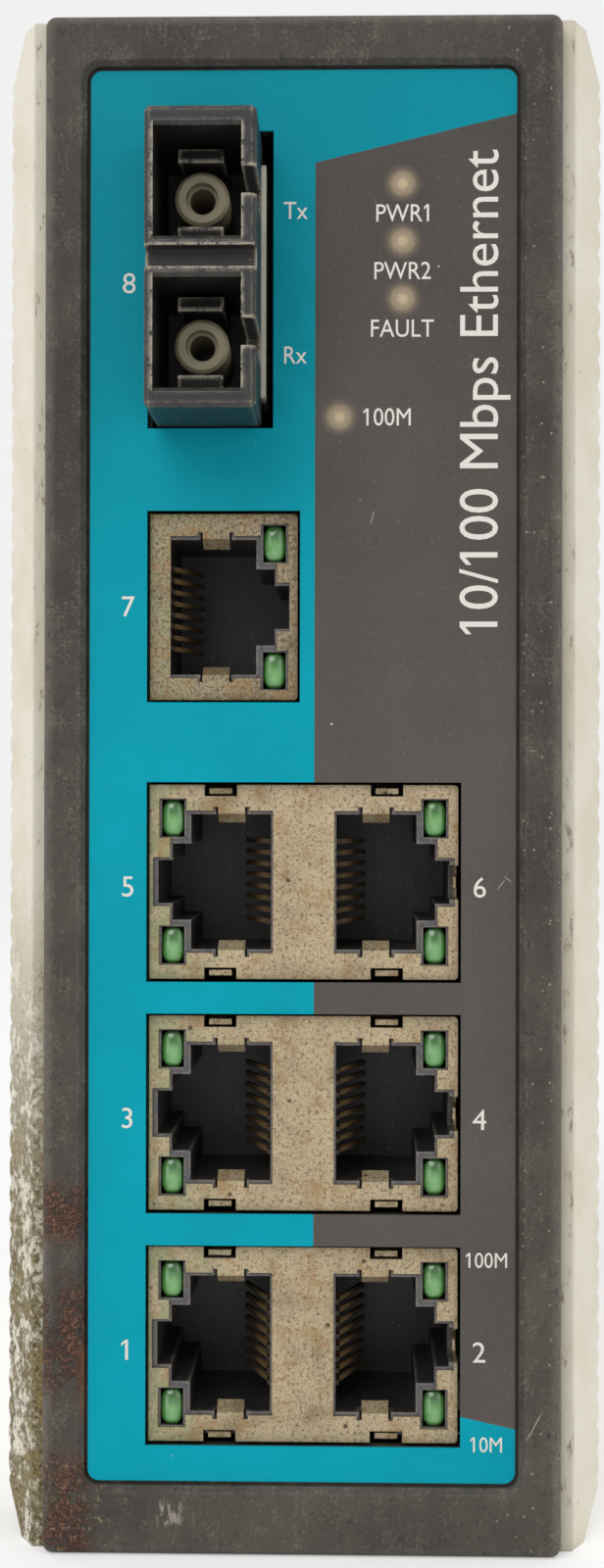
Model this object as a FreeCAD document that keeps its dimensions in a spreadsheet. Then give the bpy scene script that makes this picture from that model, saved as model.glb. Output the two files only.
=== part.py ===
import FreeCAD, Part
import os
import Sketcher
from FreeCAD import Rotation, Vector

# An eight-port ethernet switch for a 35 mm DIN rail, in millimetres.
#
# The row frame has its origin at the middle of the rail seat on the back: +Z is up, the front
# with its ports faces -Y and +X is to the right of someone who looks at the front.
# Inside this file most places are given in the case frame: X from the middle of the case,
# Y backwards from the front of the frame, Z up from the base. Piece.place turns one into the other.

# ---------------------------------------------------------------- driving dimensions

SIZES = {
    # outer case
    "case_height": 135.0,
    "case_width": 53.6,
    "case_depth": 105.0,
    "chassis_width": 45.6,
    "sheet_wall": 1.2,
    "bend_radius": 1.6,
    "flange_width": 13.0,
    # front frame and its label
    "frame_depth": 8.0,
    "frame_gap": 0.1,
    "frame_wall": 1.8,
    "frame_corner": 0.9,
    "frame_edge": 1.1,
    "rim_side": 3.7,
    "rim_top": 4.5,
    "rim_bottom": 6.1,
    "rim_edge": 0.5,
    "label_depth": 0.8,
    "label_thickness": 0.3,
    "label_gap": 0.3,
    "label_corner": 1.0,
    "front_plate": 1.7,
    "window_gap": 0.22,
    "plate_window_extra": 0.12,
    # reeded side panels
    "panel_setback": 2.5,
    "panel_land": 1.0,
    "panel_bevel": 6.0,
    "panel_corner_width": 1.7,
    "panel_corner_height": 4.2,
    "reed_count": 56,
    "reed_rise": 0.27,
    # screws
    "screw_radius": 1.5,
    "screw_head_radius": 2.9,
    "small_screw_radius": 1.25,
    "small_head_radius": 2.2,
    "hole_gap": 0.2,
    "spot_gap": 0.3,
    "side_screw_front": 12.5,
    "side_screw_rear": 5.0,
    "side_screw_low": 8.0,
    "side_screw_length": 6.5,
    "frame_screw_length": 4.5,
    # wall kit and rail mount on the back
    "wall_kit_width": 34.0,
    "wall_kit_margin": 10.0,
    "wall_kit_radius": 1.25,
    "rail_height": 67.5,
    "rail_width": 35.0,
    "rail_gap": 0.3,
    "rail_groove": 1.5,
    "lip_thickness": 1.7,
    "lip_reach": 2.4,
    "spring_room": 3.2,
    "hook_wall": 3.0,
    "hook_edge": 1.2,
    "din_plate_width": 40.0,
    "din_plate_thickness": 3.6,
    "seat_rise": 0.2,
    "seat_margin": 1.0,
    "spring_thickness": 0.6,
    "spring_length": 34.0,
    "din_screw_spacing": 26.0,
    "din_screw_length": 6.5,
    # circuit boards
    "board_thickness": 1.6,
    "main_board_inset": 9.35,
    "power_board_inset": 7.2,
    "board_front": 3.2,
    "board_rear": 6.0,
    "board_margin": 5.0,
    "power_board_front": 12.0,
    "main_board_screw_front": 38.0,
    "power_board_screw_front": 18.0,
    "board_screw_rear": 4.2,
    "board_screw_margin": 4.0,
    "board_screw_length": 5.5,
    "board_head_width": 5.0,
    "board_head_height": 1.9,
    "spacer_width": 5.5,
    "lead_side": 0.5,
    "lead_gap": 0.1,
    "lead_reach": 3.0,
    "lead_pitch": 2.54,
    "lead_count": 9,
    "link_width": 5.0,
    "link_height": 32.0,
    "link_level": 52.0,
    "link_seam_width": 1.2,
    "link_seam_depth": 0.25,
    # port shields, shared
    "shield_wall": 0.25,
    "shield_bend": 0.375,
    "shield_front": 1.5,
    "shield_length": 25.4,
    "opening_height": 12.52,
    "lamp_inner": 3.26,
    "lamp_low": 3.85,
    "lamp_high": 7.34,
    "lamp_width": 2.0,
    "lamp_height": 3.27,
    "lamp_length": 5.0,
    "lamp_bevel": 0.5,
    "lamp_recess": 0.1,
    "latch_step": 1.81,
    "latch_height": 4.3,
    "cavity_depth": 14.5,
    "cavity_height": 11.9,
    "cavity_inset": 0.18,
    "lamp_frame": 0.6,
    "latch_floor": 0.75,
    "contact_count": 8,
    "contact_pitch": 1.016,
    "contact_width": 0.4,
    "contact_thickness": 0.3,
    "contact_foot": 1.4,
    "contact_start": 1.0,
    "contact_length": 6.4,
    "contact_rise": 2.3,
    "tab_width": 2.36,
    "tab_drop": 0.8,
    "tab_length": 1.5,
    "tab_relief_width": 0.4,
    "tab_relief_depth": 0.35,
    "notch_width": 2.84,
    "notch_depth": 1.0,
    "finger_width": 2.0,
    "finger_length": 7.0,
    "finger_drop": 0.8,
    "finger_hem": 0.9,
    "finger_bow": 0.1,
    # double ports 1 to 6
    "stack_height": 27.15,
    "stack_width": 17.1,
    "stack_web": 5.39,
    "stack_lamp_edge": 0.85,
    "stack_latch_edge": 0.3,
    "stack_tab_place": 7.22,
    "stack_notch_place": 6.26,
    "side_notch_height": 3.0,
    "side_notch_depth": 0.5,
    "side_finger_width": 1.0,
    "side_finger_drop": 0.45,
    "first_port_level": 18.24,
    "port_pitch": 20.32,
    # single port 7
    "single_height": 13.0,
    "single_width": 16.4,
    "single_far_edge": 1.8,
    "single_lamp_edge": 0.83,
    "single_latch_edge": 0.7,
    "single_tab_place": 7.2,
    "single_level": 83.08,
    # fibre transceiver, port 8
    "fibre_level": 111.5,
    "fibre_window_level": 111.8,
    "fibre_window_width": 11.05,
    "fibre_window_height": 26.15,
    "fibre_standoff": 0.4,
    "fibre_width": 9.38,
    "fibre_height": 25.2,
    "fibre_reach": 10.4,
    "fibre_pitch": 12.7,
    "fibre_aperture_width": 7.4,
    "fibre_aperture_height": 9.3,
    "fibre_left_wall": 0.72,
    "fibre_nose_length": 17.5,
    "fibre_depth": 16.0,
    "fibre_key": 2.3,
    "fibre_key_depth": 9.0,
    "fibre_groove": 1.8,
    "fibre_groove_depth": 1.6,
    "fibre_body_length": 26.0,
    "fibre_edge": 0.35,
    "transceiver_edge": 0.7,
    "sleeve_radius": 2.35,
    "sleeve_bore": 1.1,
    "sleeve_mouth": 1.4,
    "sleeve_step": 1.0,
    "sleeve_edge": 0.3,
    "sleeve_recess": 6.4,
    "hook_width": 3.9,
    "hook_thickness": 0.9,
    "hook_recess": 5.0,
    "hook_place": 3.55,
    "hook_catch": 0.35,
    "strip_thickness": 0.4,
    "strip_height": 20.4,
    "strip_length": 9.0,
    # indicators
    "indicator_column": 8.7,
    "indicator_top": 120.2,
    "indicator_pitch": 5.06,
    "indicator_count": 3,
    "link_lamp_column": 3.2,
    "link_lamp_level": 99.7,
    "indicator_side": 2.3,
    "indicator_length": 6.0,
    "indicator_gap": 0.1,
    "holder_margin": 2.2,
    "holder_depth": 5.0,
    # pluggable power terminal
    "pole_count": 6,
    "pole_pitch": 5.08,
    "terminal_front": 28.0,
    "header_end": 1.26,
    "header_width": 12.2,
    "header_height": 15.1,
    "header_wall": 1.2,
    "header_floor": 2.5,
    "header_below_top": 1.4,
    "plug_gap": 0.25,
    "plug_rise": 9.3,
    "plug_floor_gap": 0.05,
    "rib_width": 0.8,
    "rib_depth": 0.6,
    "plug_shoulder": 1.4,
    "plug_shoulder_drop": 2.1,
    "plug_edge": 0.6,
    "pin_side": 1.0,
    "pin_point": 0.25,
    "pin_rise": 8.5,
    "pin_socket": 1.5,
    "entry_width": 3.9,
    "entry_length": 5.2,
    "entry_depth": 8.0,
    "entry_shift": 0.7,
    "clamp_wall": 0.7,
    "clamp_height": 4.4,
    "clamp_gap": 0.1,
    "clamp_screw_radius": 1.7,
    "clamp_screw_gap": 0.1,
    "clamp_slot_width": 0.8,
    "clamp_slot_depth": 1.0,
    "panel_opening_gap": 0.3,
    # option switches
    "lever_count": 8,
    "lever_pitch": 2.54,
    "lever_width": 1.0,
    "lever_length": 1.7,
    "lever_rise": 0.9,
    "lever_edge": 0.25,
    "lever_depth": 1.9,
    "lever_travel": 1.6,
    "lever_gap": 0.15,
    "lever_floor_gap": 0.05,
    "dip_front": 69.2,
    "dip_end": 1.04,
    "dip_width": 9.9,
    "dip_height": 7.0,
    "dip_below_top": 1.1,
    # earth screw
    "earth_x": -14.0,
    "earth_rear": 13.0,
    "earth_radius": 2.0,
    "earth_head_radius": 4.0,
    "earth_head_height": 2.6,
    "earth_head_edge": 0.8,
    "earth_length": 4.5,
    "earth_washer_radius": 4.6,
    "earth_washer_thickness": 0.8,
    # vents in the top and the bottom
    "vent_width": 2.4,
    "vent_length": 13.0,
    "vent_pitch": 6.0,
    "vent_count": 8,
    "vent_start": 24.0,
    "vent_inset": 2.3,
    # larger inner components
    "component_corner": 0.6,
    "component_gap": 2.0,
    "relay_length": 20.0,
    "relay_width": 10.0,
    "relay_height": 15.0,
    "converter_length": 31.8,
    "converter_width": 20.3,
    "converter_height": 10.2,
    "capacitor_radius": 5.0,
    "capacitor_height": 16.0,
    "capacitor_pitch": 12.5,
    "capacitor_count": 3,
    "chip_inset": 10.0,
    "chip_side": 28.0,
    "chip_height": 3.4,
    # how far a cut starts outside what it cuts
    "cut_margin": 1.0,
}

# How far apart two places may be and still count as one.
SAME = 1e-3


class Size:
    """A length with the spreadsheet formula that it comes from, so sums of sizes stay formulas."""

    def __init__(self, value, formula):
        self.value = value
        self.formula = formula

    def __add__(self, other):
        return Size(self.value + number(other), f"({self.formula} + {formula(other)})")

    def __sub__(self, other):
        return Size(self.value - number(other), f"({self.formula} - {formula(other)})")

    def __mul__(self, other):
        return Size(self.value * number(other), f"({self.formula} * {formula(other)})")

    def __truediv__(self, other):
        return Size(self.value / number(other), f"({self.formula} / {formula(other)})")

    def __neg__(self):
        return Size(-self.value, f"(-{self.formula})")

    def __radd__(self, other):
        return self + other

    def __rsub__(self, other):
        return -self + other

    def __rmul__(self, other):
        return self * other


def number(size):
    return size.value if isinstance(size, Size) else size


def formula(size):
    return size.formula if isinstance(size, Size) else repr(size)


def bind(target, path, size):
    """Ties one property of an object to the spreadsheet."""
    target.setExpression(path, formula(size))


doc = FreeCAD.newDocument("ethernet_switch")
sheet = doc.addObject("Spreadsheet::Sheet", "Sizes")
for row, (name, amount) in enumerate(SIZES.items(), start=1):
    sheet.set(f"A{row}", name)
    sheet.set(f"B{row}", str(amount))
    sheet.setAlias(f"B{row}", name)
doc.recompute()


class Sizes:
    """The spreadsheet's cells by alias."""

    def __getattr__(self, alias):
        return Size(float(sheet.get(alias)), f"Sizes.{alias}")


S = Sizes()

# ---------------------------------------------------------------- sketching and features

# Which way each origin plane of a body faces along the axis that it is square to.
FACING = {"XY_Plane": 1, "XZ_Plane": -1, "YZ_Plane": 1}


def fix_point(sketch, geometry, end, x, y):
    """The constraints that hold one sketch point at x, y, with the formulas to bind to them."""
    constraints = []
    formulas = []
    for kind, size, axis in (("DistanceX", x, -2), ("DistanceY", y, -1)):
        if abs(number(size)) < 1e-9:
            constraints.append(Sketcher.Constraint("PointOnObject", geometry, end, axis))
            formulas.append(None)
        else:
            constraints.append(Sketcher.Constraint(kind, -1, 1, geometry, end, number(size)))
            formulas.append(size)
    return constraints, formulas


def add_constraints(sketch, constraints, formulas):
    first = sketch.ConstraintCount
    sketch.addConstraint(constraints)
    for place, size in enumerate(formulas, start=first):
        if isinstance(size, Size):
            bind(sketch, f"Constraints[{place}]", size)


def outline(sketch, points):
    """A closed outline of straight lines through points, each held by its own two sizes."""
    first = sketch.GeometryCount
    corners = [Vector(number(x), number(y), 0) for x, y in points]
    ends = corners[1:] + corners[:1]
    sketch.addGeometry([Part.LineSegment(a, b) for a, b in zip(corners, ends)], False)
    constraints = []
    formulas = []
    for place, (x, y) in enumerate(points):
        following = first + (place + 1) % len(points)
        constraints.append(Sketcher.Constraint("Coincident", first + place, 2, following, 1))
        formulas.append(None)
        held, sizes = fix_point(sketch, first + place, 1, x, y)
        constraints += held
        formulas += sizes
    add_constraints(sketch, constraints, formulas)


def rectangle(sketch, left, low, right, high):
    outline(sketch, [(left, low), (right, low), (right, high), (left, high)])


def centred(sketch, x, y, width, height):
    """A rectangle by its middle and its full width and height."""
    rectangle(sketch, x - width / 2, y - height / 2, x + width / 2, y + height / 2)


def circle(sketch, x, y, radius):
    place = sketch.GeometryCount
    round_edge = Part.Circle(Vector(number(x), number(y), 0), Vector(0, 0, 1), number(radius))
    sketch.addGeometry(round_edge, False)
    constraints, formulas = fix_point(sketch, place, 3, x, y)
    constraints.append(Sketcher.Constraint("Radius", place, number(radius)))
    formulas.append(radius)
    add_constraints(sketch, constraints, formulas)


def along(axis):
    """A test for straight edges that run along one axis."""
    others = [side for side in ("XLength", "YLength", "ZLength") if side[0] != axis]

    def test(edge):
        box = edge.BoundBox
        return edge.Length > 1e-3 and all(getattr(box, side) < 1e-4 for side in others)

    return test


def round_of(radius):
    """A test for circular edges of one radius."""

    def test(edge):
        box = edge.BoundBox
        reach = max(box.XLength, box.YLength, box.ZLength)
        return len(edge.Vertexes) == 1 and abs(reach / 2 - number(radius)) < 1e-4

    return test


def reach_of(edge, axis):
    """Where an edge starts and ends along one axis."""
    box = edge.BoundBox
    return {"X": (box.XMin, box.XMax), "Y": (box.YMin, box.YMax), "Z": (box.ZMin, box.ZMax)}[axis]


def between(axis, low, high):
    """A test for edges that lie whole between two levels of one axis."""

    def test(edge):
        start, end = reach_of(edge, axis)
        return start > number(low) - SAME and end < number(high) + SAME

    return test


def at_level(axis, level):
    """A test for edges that lie whole at one level of one axis."""
    return between(axis, level, level)


def beyond(axis, level):
    """A test for edges that lie whole past one level of one axis."""
    return lambda edge: reach_of(edge, axis)[0] > number(level) + SAME


def both(*tests):
    return lambda edge: all(test(edge) for test in tests)


def either(*tests):
    return lambda edge: any(test(edge) for test in tests)


class Piece:
    """One physical piece: a body with sketches and features, and its place in the case."""

    made = []

    def __init__(self, name):
        self.body = doc.addObject("PartDesign::Body", name)
        self.body.Label = name
        Piece.made.append(self)

    def origin(self, role):
        return next(item for item in self.body.Origin.OriginFeatures if item.Role == role)

    def sketch(self, plane, at=0):
        """A sketch square to an axis: XY, XZ or YZ, at a place along that axis."""
        drawing = self.body.newObject("Sketcher::SketchObject", f"{self.body.Name}_sketch")
        drawing.AttachmentSupport = [(self.origin(plane + "_Plane"), "")]
        drawing.MapMode = "FlatFace"
        bind(drawing, "AttachmentOffset.Base.z", at * FACING[plane + "_Plane"])
        return drawing

    def feature(self, kind, drawing):
        made = self.body.newObject(f"PartDesign::{kind}", f"{self.body.Name}_{kind.lower()}")
        made.Profile = drawing
        return made

    def facing(self, drawing):
        return FACING[drawing.AttachmentSupport[0][0].Role]

    def pad(self, drawing, length, toward=1):
        """Adds material from the sketch, toward the axis's plus (1) or minus (-1) end."""
        made = self.feature("Pad", drawing)
        made.Reversed = toward * self.facing(drawing) < 0
        bind(made, "Length", length)
        doc.recompute()
        return made

    def pocket(self, drawing, length, toward=1):
        """Cuts from the sketch, toward the axis's plus (1) or minus (-1) end."""
        made = self.feature("Pocket", drawing)
        made.Reversed = toward * self.facing(drawing) > 0
        bind(made, "Length", length)
        doc.recompute()
        return made

    def revolve(self, drawing, axis="V_Axis"):
        made = self.feature("Revolution", drawing)
        made.ReferenceAxis = (drawing, [axis])
        made.Angle = 360
        doc.recompute()
        return made

    def edges(self, test):
        shape = self.body.Tip.Shape
        return [f"Edge{place}" for place, edge in enumerate(shape.Edges, start=1) if test(edge)]

    def fillet(self, test, radius):
        names = self.edges(test)
        base = self.body.Tip
        made = self.body.newObject("PartDesign::Fillet", f"{self.body.Name}_fillet")
        made.Base = (base, names)
        bind(made, "Radius", radius)
        doc.recompute()
        return made

    def chamfer(self, test, size):
        names = self.edges(test)
        base = self.body.Tip
        made = self.body.newObject("PartDesign::Chamfer", f"{self.body.Name}_chamfer")
        made.Base = (base, names)
        bind(made, "Size", size)
        doc.recompute()
        return made

    def repeat(self, features, axis, spacing, count):
        """Repeats features, or the whole piece if none is given, along an axis."""
        made = self.body.newObject("PartDesign::LinearPattern", f"{self.body.Name}_pattern")
        if features:
            made.Originals = features
        else:
            made.TransformMode = "Whole shape"
        made.Direction = (self.origin(axis + "_Axis"), [""])
        made.Mode = "Spacing"
        bind(made, "Offset", spacing)
        bind(made, "Occurrences", count)
        self.body.Tip = made
        doc.recompute()
        return made

    def mirror(self, features, plane):
        """Mirrors features, or the whole piece if none is given, in an origin plane."""
        made = self.body.newObject("PartDesign::Mirrored", f"{self.body.Name}_mirror")
        if features:
            made.Originals = features
        else:
            made.TransformMode = "Whole shape"
        made.MirrorPlane = (self.origin(plane + "_Plane"), [""])
        self.body.Tip = made
        doc.recompute()
        return made

    def place(self, x=0, y=0, z=0, turn=None):
        """Puts the piece at a place of the case frame, turned if it is drawn along another axis."""
        if turn:
            self.body.Placement.Rotation = turn
        bind(self.body, "Placement.Base.x", x)
        bind(self.body, "Placement.Base.y", y - SEAT_DEPTH)
        bind(self.body, "Placement.Base.z", z - S.rail_height)
        return self


# ---------------------------------------------------------------- places worked out from the sizes

HALF_CHASSIS = S.chassis_width / 2
HALF_CASE = S.case_width / 2
SEAT_DEPTH = S.case_depth + S.din_plate_thickness + S.seat_rise
HALF_FRAME = HALF_CHASSIS - S.frame_gap
FLOOR_FACE = S.label_depth + S.label_thickness
FLOOR_BACK = FLOOR_FACE + S.front_plate
RECESS_LOW = S.rim_bottom
RECESS_HIGH = S.case_height - S.rim_top
RECESS_HALF = HALF_FRAME - S.rim_side
FRAME_SCREW_Y = (FLOOR_BACK + S.frame_depth) / 2
SIDE_SCREW_BACK = S.case_depth - S.side_screw_rear
MAIN_FACE = S.main_board_inset - HALF_CHASSIS
POWER_FACE = HALF_CHASSIS - S.power_board_inset
BOARD_BACK = S.case_depth - S.board_rear
EARTH_Y = S.case_depth - S.earth_rear
HEADER_LENGTH = S.pole_pitch * S.pole_count + 2 * S.header_end
DIP_LENGTH = S.lever_pitch * S.lever_count + 2 * S.dip_end
PAIRS = ("12", "34", "56")
STACK_X = MAIN_FACE + S.stack_height / 2
STACK_LEVELS = [S.first_port_level + S.port_pitch * row for row in range(len(PAIRS))]
SINGLE_X = MAIN_FACE + S.single_height / 2
FIBRE_X = MAIN_FACE + S.fibre_standoff + S.fibre_width / 2
FIBRE_FRONT = S.label_depth - S.fibre_reach
REED_PITCH = S.case_height / S.reed_count
INDICATORS = [(S.indicator_column, S.indicator_top - S.indicator_pitch * row)
              for row in range(round(number(S.indicator_count)))]
INDICATORS.append((S.link_lamp_column, S.link_lamp_level))
BACK_OF_CASE = S.case_depth - S.sheet_wall
TERMINAL_X = POWER_FACE - S.header_width / 2
TERMINAL_Y = S.terminal_front + HEADER_LENGTH / 2
HEADER_TOP = S.case_height - S.header_below_top
HEADER_LOW = HEADER_TOP - S.header_height
DIP_X = POWER_FACE - S.dip_width / 2
DIP_Y = S.dip_front + DIP_LENGTH / 2
DIP_TOP = S.case_height - S.dip_below_top
DIN_SCREWS = [(side * S.din_screw_spacing / 2, S.rail_height) for side in (-1, 1)]
FIRST_POLE = TERMINAL_Y - S.pole_pitch * (S.pole_count - 1) / 2

# ---------------------------------------------------------------- case


def cut_front_windows(piece, start, depth, margin):
    """The openings for the fibre nose and the ports, wider than each by a margin all round."""
    cut = piece.sketch("XZ", at=start)
    extra = 2 * S.window_gap + 2 * margin
    for level in STACK_LEVELS:
        centred(cut, STACK_X, level, S.stack_height + extra, S.stack_width + extra)
    centred(cut, SINGLE_X, S.single_level, S.single_height + extra, S.single_width + extra)
    window_x = MAIN_FACE - S.window_gap + S.fibre_window_width / 2
    width = S.fibre_window_width + 2 * margin
    centred(cut, window_x, S.fibre_window_level, width, S.fibre_window_height + 2 * margin)
    piece.pocket(cut, depth)


def make_front_frame():
    """The moulded frame round the label, with a skirt that laps over the chassis tabs."""
    frame = Piece("front_frame")
    face = frame.sketch("XZ")
    rectangle(face, -HALF_FRAME, 0, HALF_FRAME, S.case_height)
    frame.pad(face, S.frame_depth)
    frame.fillet(along("Y"), S.frame_corner)
    frame.fillet(at_level("Y", 0), S.frame_edge)

    recess = frame.sketch("XZ")
    rectangle(recess, -RECESS_HALF, RECESS_LOW, RECESS_HALF, RECESS_HIGH)
    frame.pocket(recess, FLOOR_FACE)
    frame.fillet(both(along("Y"), between("Y", 0, FLOOR_FACE)), S.label_corner + S.label_gap)
    frame.chamfer(both(at_level("Y", 0), between("X", -RECESS_HALF, RECESS_HALF)), S.rim_edge)

    hollow = frame.sketch("XZ", at=S.frame_depth)
    inside = HALF_FRAME - S.frame_wall
    rectangle(hollow, -inside, S.frame_wall, inside, S.case_height - S.frame_wall)
    frame.pocket(hollow, S.frame_depth - FLOOR_BACK, toward=-1)

    cut_front_windows(frame, FLOOR_FACE, S.front_plate, S.plate_window_extra)
    lamps = frame.sketch("XZ", at=FLOOR_FACE)
    for column, level in INDICATORS:
        around = S.indicator_side + 2 * S.indicator_gap
        centred(lamps, column, level, around, around)
    frame.pocket(lamps, S.front_plate)

    # A countersunk hole straight down through the top skirt, and the same below.
    for level, inward in ((S.case_height, -1), (0, 1)):
        drill = frame.sketch("XY", at=level)
        circle(drill, 0, FRAME_SCREW_Y, S.small_screw_radius + S.hole_gap)
        frame.pocket(drill, S.frame_wall, toward=inward)
    rims = round_of(S.small_screw_radius + S.hole_gap)
    outer = either(at_level("Z", 0), at_level("Z", S.case_height))
    frame.chamfer(both(rims, outer), S.small_head_radius - S.small_screw_radius - S.hole_gap)
    return frame.place()


def make_front_label():
    """The printed film that covers the floor of the frame."""
    label = Piece("front_label")
    face = label.sketch("XZ", at=S.label_depth)
    half = RECESS_HALF - S.label_gap
    rectangle(face, -half, RECESS_LOW + S.label_gap, half, RECESS_HIGH - S.label_gap)
    label.pad(face, S.label_thickness)
    label.fillet(along("Y"), S.label_corner)
    cut_front_windows(label, S.label_depth, S.label_thickness, 0)
    return label.place()


def make_side_panel(name, side):
    """A reeded plate, with a bevelled front, cut corners and countersunk screw holes."""
    panel = Piece(name)
    valley = HALF_CASE - S.reed_rise
    plate = panel.sketch("XZ", at=S.panel_setback)
    rectangle(plate, side * HALF_CHASSIS, 0, side * valley, S.case_height)
    length = S.case_depth - S.panel_setback
    panel.pad(plate, length)

    # One reed is a shallow arc from valley to valley.
    reed = panel.sketch("XZ", at=S.panel_setback)
    low = Vector(side * number(valley), 0, 0)
    high = Vector(side * number(valley), number(REED_PITCH), 0)
    crest = Vector(side * number(HALF_CASE), number(REED_PITCH) / 2, 0)
    reed.addGeometry([Part.Arc(low, crest, high), Part.LineSegment(high, low)], False)
    held, sizes = fix_point(reed, 1, 2, side * valley, 0)
    more_held, more_sizes = fix_point(reed, 1, 1, side * valley, REED_PITCH)
    chord = REED_PITCH / 2
    radius = (chord * chord + S.reed_rise * S.reed_rise) / (2 * S.reed_rise)
    joins = [
        Sketcher.Constraint("Coincident", 0, 1 if side > 0 else 2, 1, 2),
        Sketcher.Constraint("Coincident", 0, 2 if side > 0 else 1, 1, 1),
        Sketcher.Constraint("Radius", 0, number(radius)),
    ]
    add_constraints(reed, held + more_held + joins, sizes + more_sizes + [None, None, radius])
    first = panel.pad(reed, length)
    panel.repeat([first], "Z", REED_PITCH, S.reed_count)

    # The front slopes back from a narrow land to the full width.
    bevel = panel.sketch("XY")
    land = HALF_CHASSIS + S.panel_land
    outside = HALF_CASE + S.cut_margin
    slope = (outside - land) / (HALF_CASE - land)
    back = S.panel_setback + S.panel_bevel * slope
    outline(bevel, [(side * land, S.panel_setback), (side * outside, back),
                    (side * outside, S.panel_setback - S.cut_margin),
                    (side * land, S.panel_setback - S.cut_margin)])
    panel.pocket(bevel, S.case_height)

    # The outer corners at the top and the bottom are cut away at a steep angle.
    corners = panel.sketch("XZ")
    inner = HALF_CASE - S.panel_corner_width
    steep = S.panel_corner_height * (outside - inner) / S.panel_corner_width
    outline(corners, [(side * inner, 0), (side * outside, 0), (side * outside, steep)])
    outline(corners, [(side * inner, S.case_height), (side * outside, S.case_height),
                      (side * outside, S.case_height - steep)])
    panel.pocket(corners, S.case_depth)

    # Each screw sits in a flat round seat that clears the reeds, then a countersink.
    spots = panel.sketch("YZ", at=side * outside)
    holes = panel.sketch("YZ", at=side * outside)
    for y in (S.side_screw_front, SIDE_SCREW_BACK):
        for z in (S.side_screw_low, S.case_height - S.side_screw_low):
            circle(spots, y, z, S.screw_head_radius + S.spot_gap)
            circle(holes, y, z, S.screw_radius + S.hole_gap)
    panel.pocket(spots, outside - valley, toward=-side)
    panel.pocket(holes, outside - HALF_CHASSIS, toward=-side)
    mouths = round_of(S.screw_radius + S.hole_gap)
    sink = S.screw_head_radius - S.screw_radius - S.hole_gap
    panel.chamfer(both(mouths, at_level("X", side * valley)), sink)
    return panel.place()


def make_chassis():
    """The folded sheet: top, back and bottom in one, with side flanges and stepped front tabs."""
    chassis = Piece("chassis")
    wall = S.sheet_wall
    top = S.case_height
    front = S.frame_depth + S.hole_gap
    tab_front = FLOOR_BACK + S.label_gap
    tab_top = top - S.frame_wall
    section = chassis.sketch("YZ", at=-HALF_CHASSIS)
    outline(section, [
        (front, top), (front, tab_top), (tab_front, tab_top), (tab_front, tab_top - wall),
        (front + wall, tab_top - wall), (front + wall, top - wall), (BACK_OF_CASE, top - wall),
        (BACK_OF_CASE, wall), (front + wall, wall), (front + wall, S.frame_wall + wall),
        (tab_front, S.frame_wall + wall), (tab_front, S.frame_wall), (front, S.frame_wall),
        (front, 0), (S.case_depth, 0), (S.case_depth, top),
    ])
    chassis.pad(section, S.chassis_width)
    chassis.fillet(both(along("X"), at_level("Y", S.case_depth)), S.bend_radius)

    # The tabs stay clear of the frame's side skirts.
    notches = chassis.sketch("XY")
    clear = HALF_FRAME - S.frame_wall - S.label_gap
    for side in (-1, 1):
        outside = HALF_CHASSIS + S.cut_margin
        rectangle(notches, side * clear, tab_front - S.cut_margin, side * outside, front)
    chassis.pocket(notches, top)

    # Side flanges for the panels run round the three folded walls.
    flange = chassis.sketch("YZ", at=-HALF_CHASSIS)
    reach = S.flange_width
    outline(flange, [
        (front, top - wall), (front, top - reach), (S.case_depth - reach, top - reach),
        (S.case_depth - reach, reach), (front, reach), (front, wall),
        (BACK_OF_CASE, wall), (BACK_OF_CASE, top - wall),
    ])
    left = chassis.pad(flange, wall)
    chassis.mirror([left], "YZ")
    drill = chassis.sketch("YZ", at=-HALF_CHASSIS)
    for y in (S.side_screw_front, SIDE_SCREW_BACK):
        for z in (S.side_screw_low, top - S.side_screw_low):
            circle(drill, y, z, S.screw_radius)
    chassis.pocket(drill, S.chassis_width)

    # Openings in the top for the power terminal, the option switches and the earth screw.
    openings = chassis.sketch("XY", at=top)
    around = 2 * S.panel_opening_gap
    centred(openings, TERMINAL_X, TERMINAL_Y, S.header_width + around, HEADER_LENGTH + around)
    centred(openings, DIP_X, DIP_Y, S.dip_width + around, DIP_LENGTH + around)
    circle(openings, S.earth_x, EARTH_Y, S.earth_radius)
    chassis.pocket(openings, wall, toward=-1)

    # Screw holes for the frame, the wall kit and the rail plate.
    for level, inward in ((tab_top, -1), (S.frame_wall, 1)):
        drill = chassis.sketch("XY", at=level)
        circle(drill, 0, FRAME_SCREW_Y, S.small_screw_radius)
        chassis.pocket(drill, wall, toward=inward)
    kit = chassis.sketch("XZ", at=S.case_depth)
    for side in (-1, 1):
        for level in (S.wall_kit_margin, top - S.wall_kit_margin):
            circle(kit, side * S.wall_kit_width / 2, level, S.wall_kit_radius)
    for x, z in DIN_SCREWS:
        circle(kit, x, z, S.screw_radius)
    chassis.pocket(kit, wall, toward=-1)

    # Vents: a row near the left edge of the top, and a row near each edge of the bottom.
    across = HALF_CHASSIS - S.vent_inset - S.vent_length / 2
    for level, inward, sides in ((top, -1, (-1,)), (0, 1, (-1, 1))):
        vents = chassis.sketch("XY", at=level)
        for side in sides:
            centred(vents, side * across, S.vent_start, S.vent_length, S.vent_width)
        row = chassis.pocket(vents, wall, toward=inward)
        chassis.repeat([row], "Y", S.vent_pitch, S.vent_count)
    return chassis.place()


# ---------------------------------------------------------------- screws


def countersunk_screw(name, radius, head_radius, length, level=0):
    """A screw along Z with the flat of its head at a level and its tip below."""
    screw = Piece(name)
    depth = head_radius - radius
    profile = screw.sketch("XZ")
    outline(profile, [(0, level), (head_radius, level), (radius, level - depth),
                      (radius, level - length), (0, level - length)])
    screw.revolve(profile)
    return screw


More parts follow.
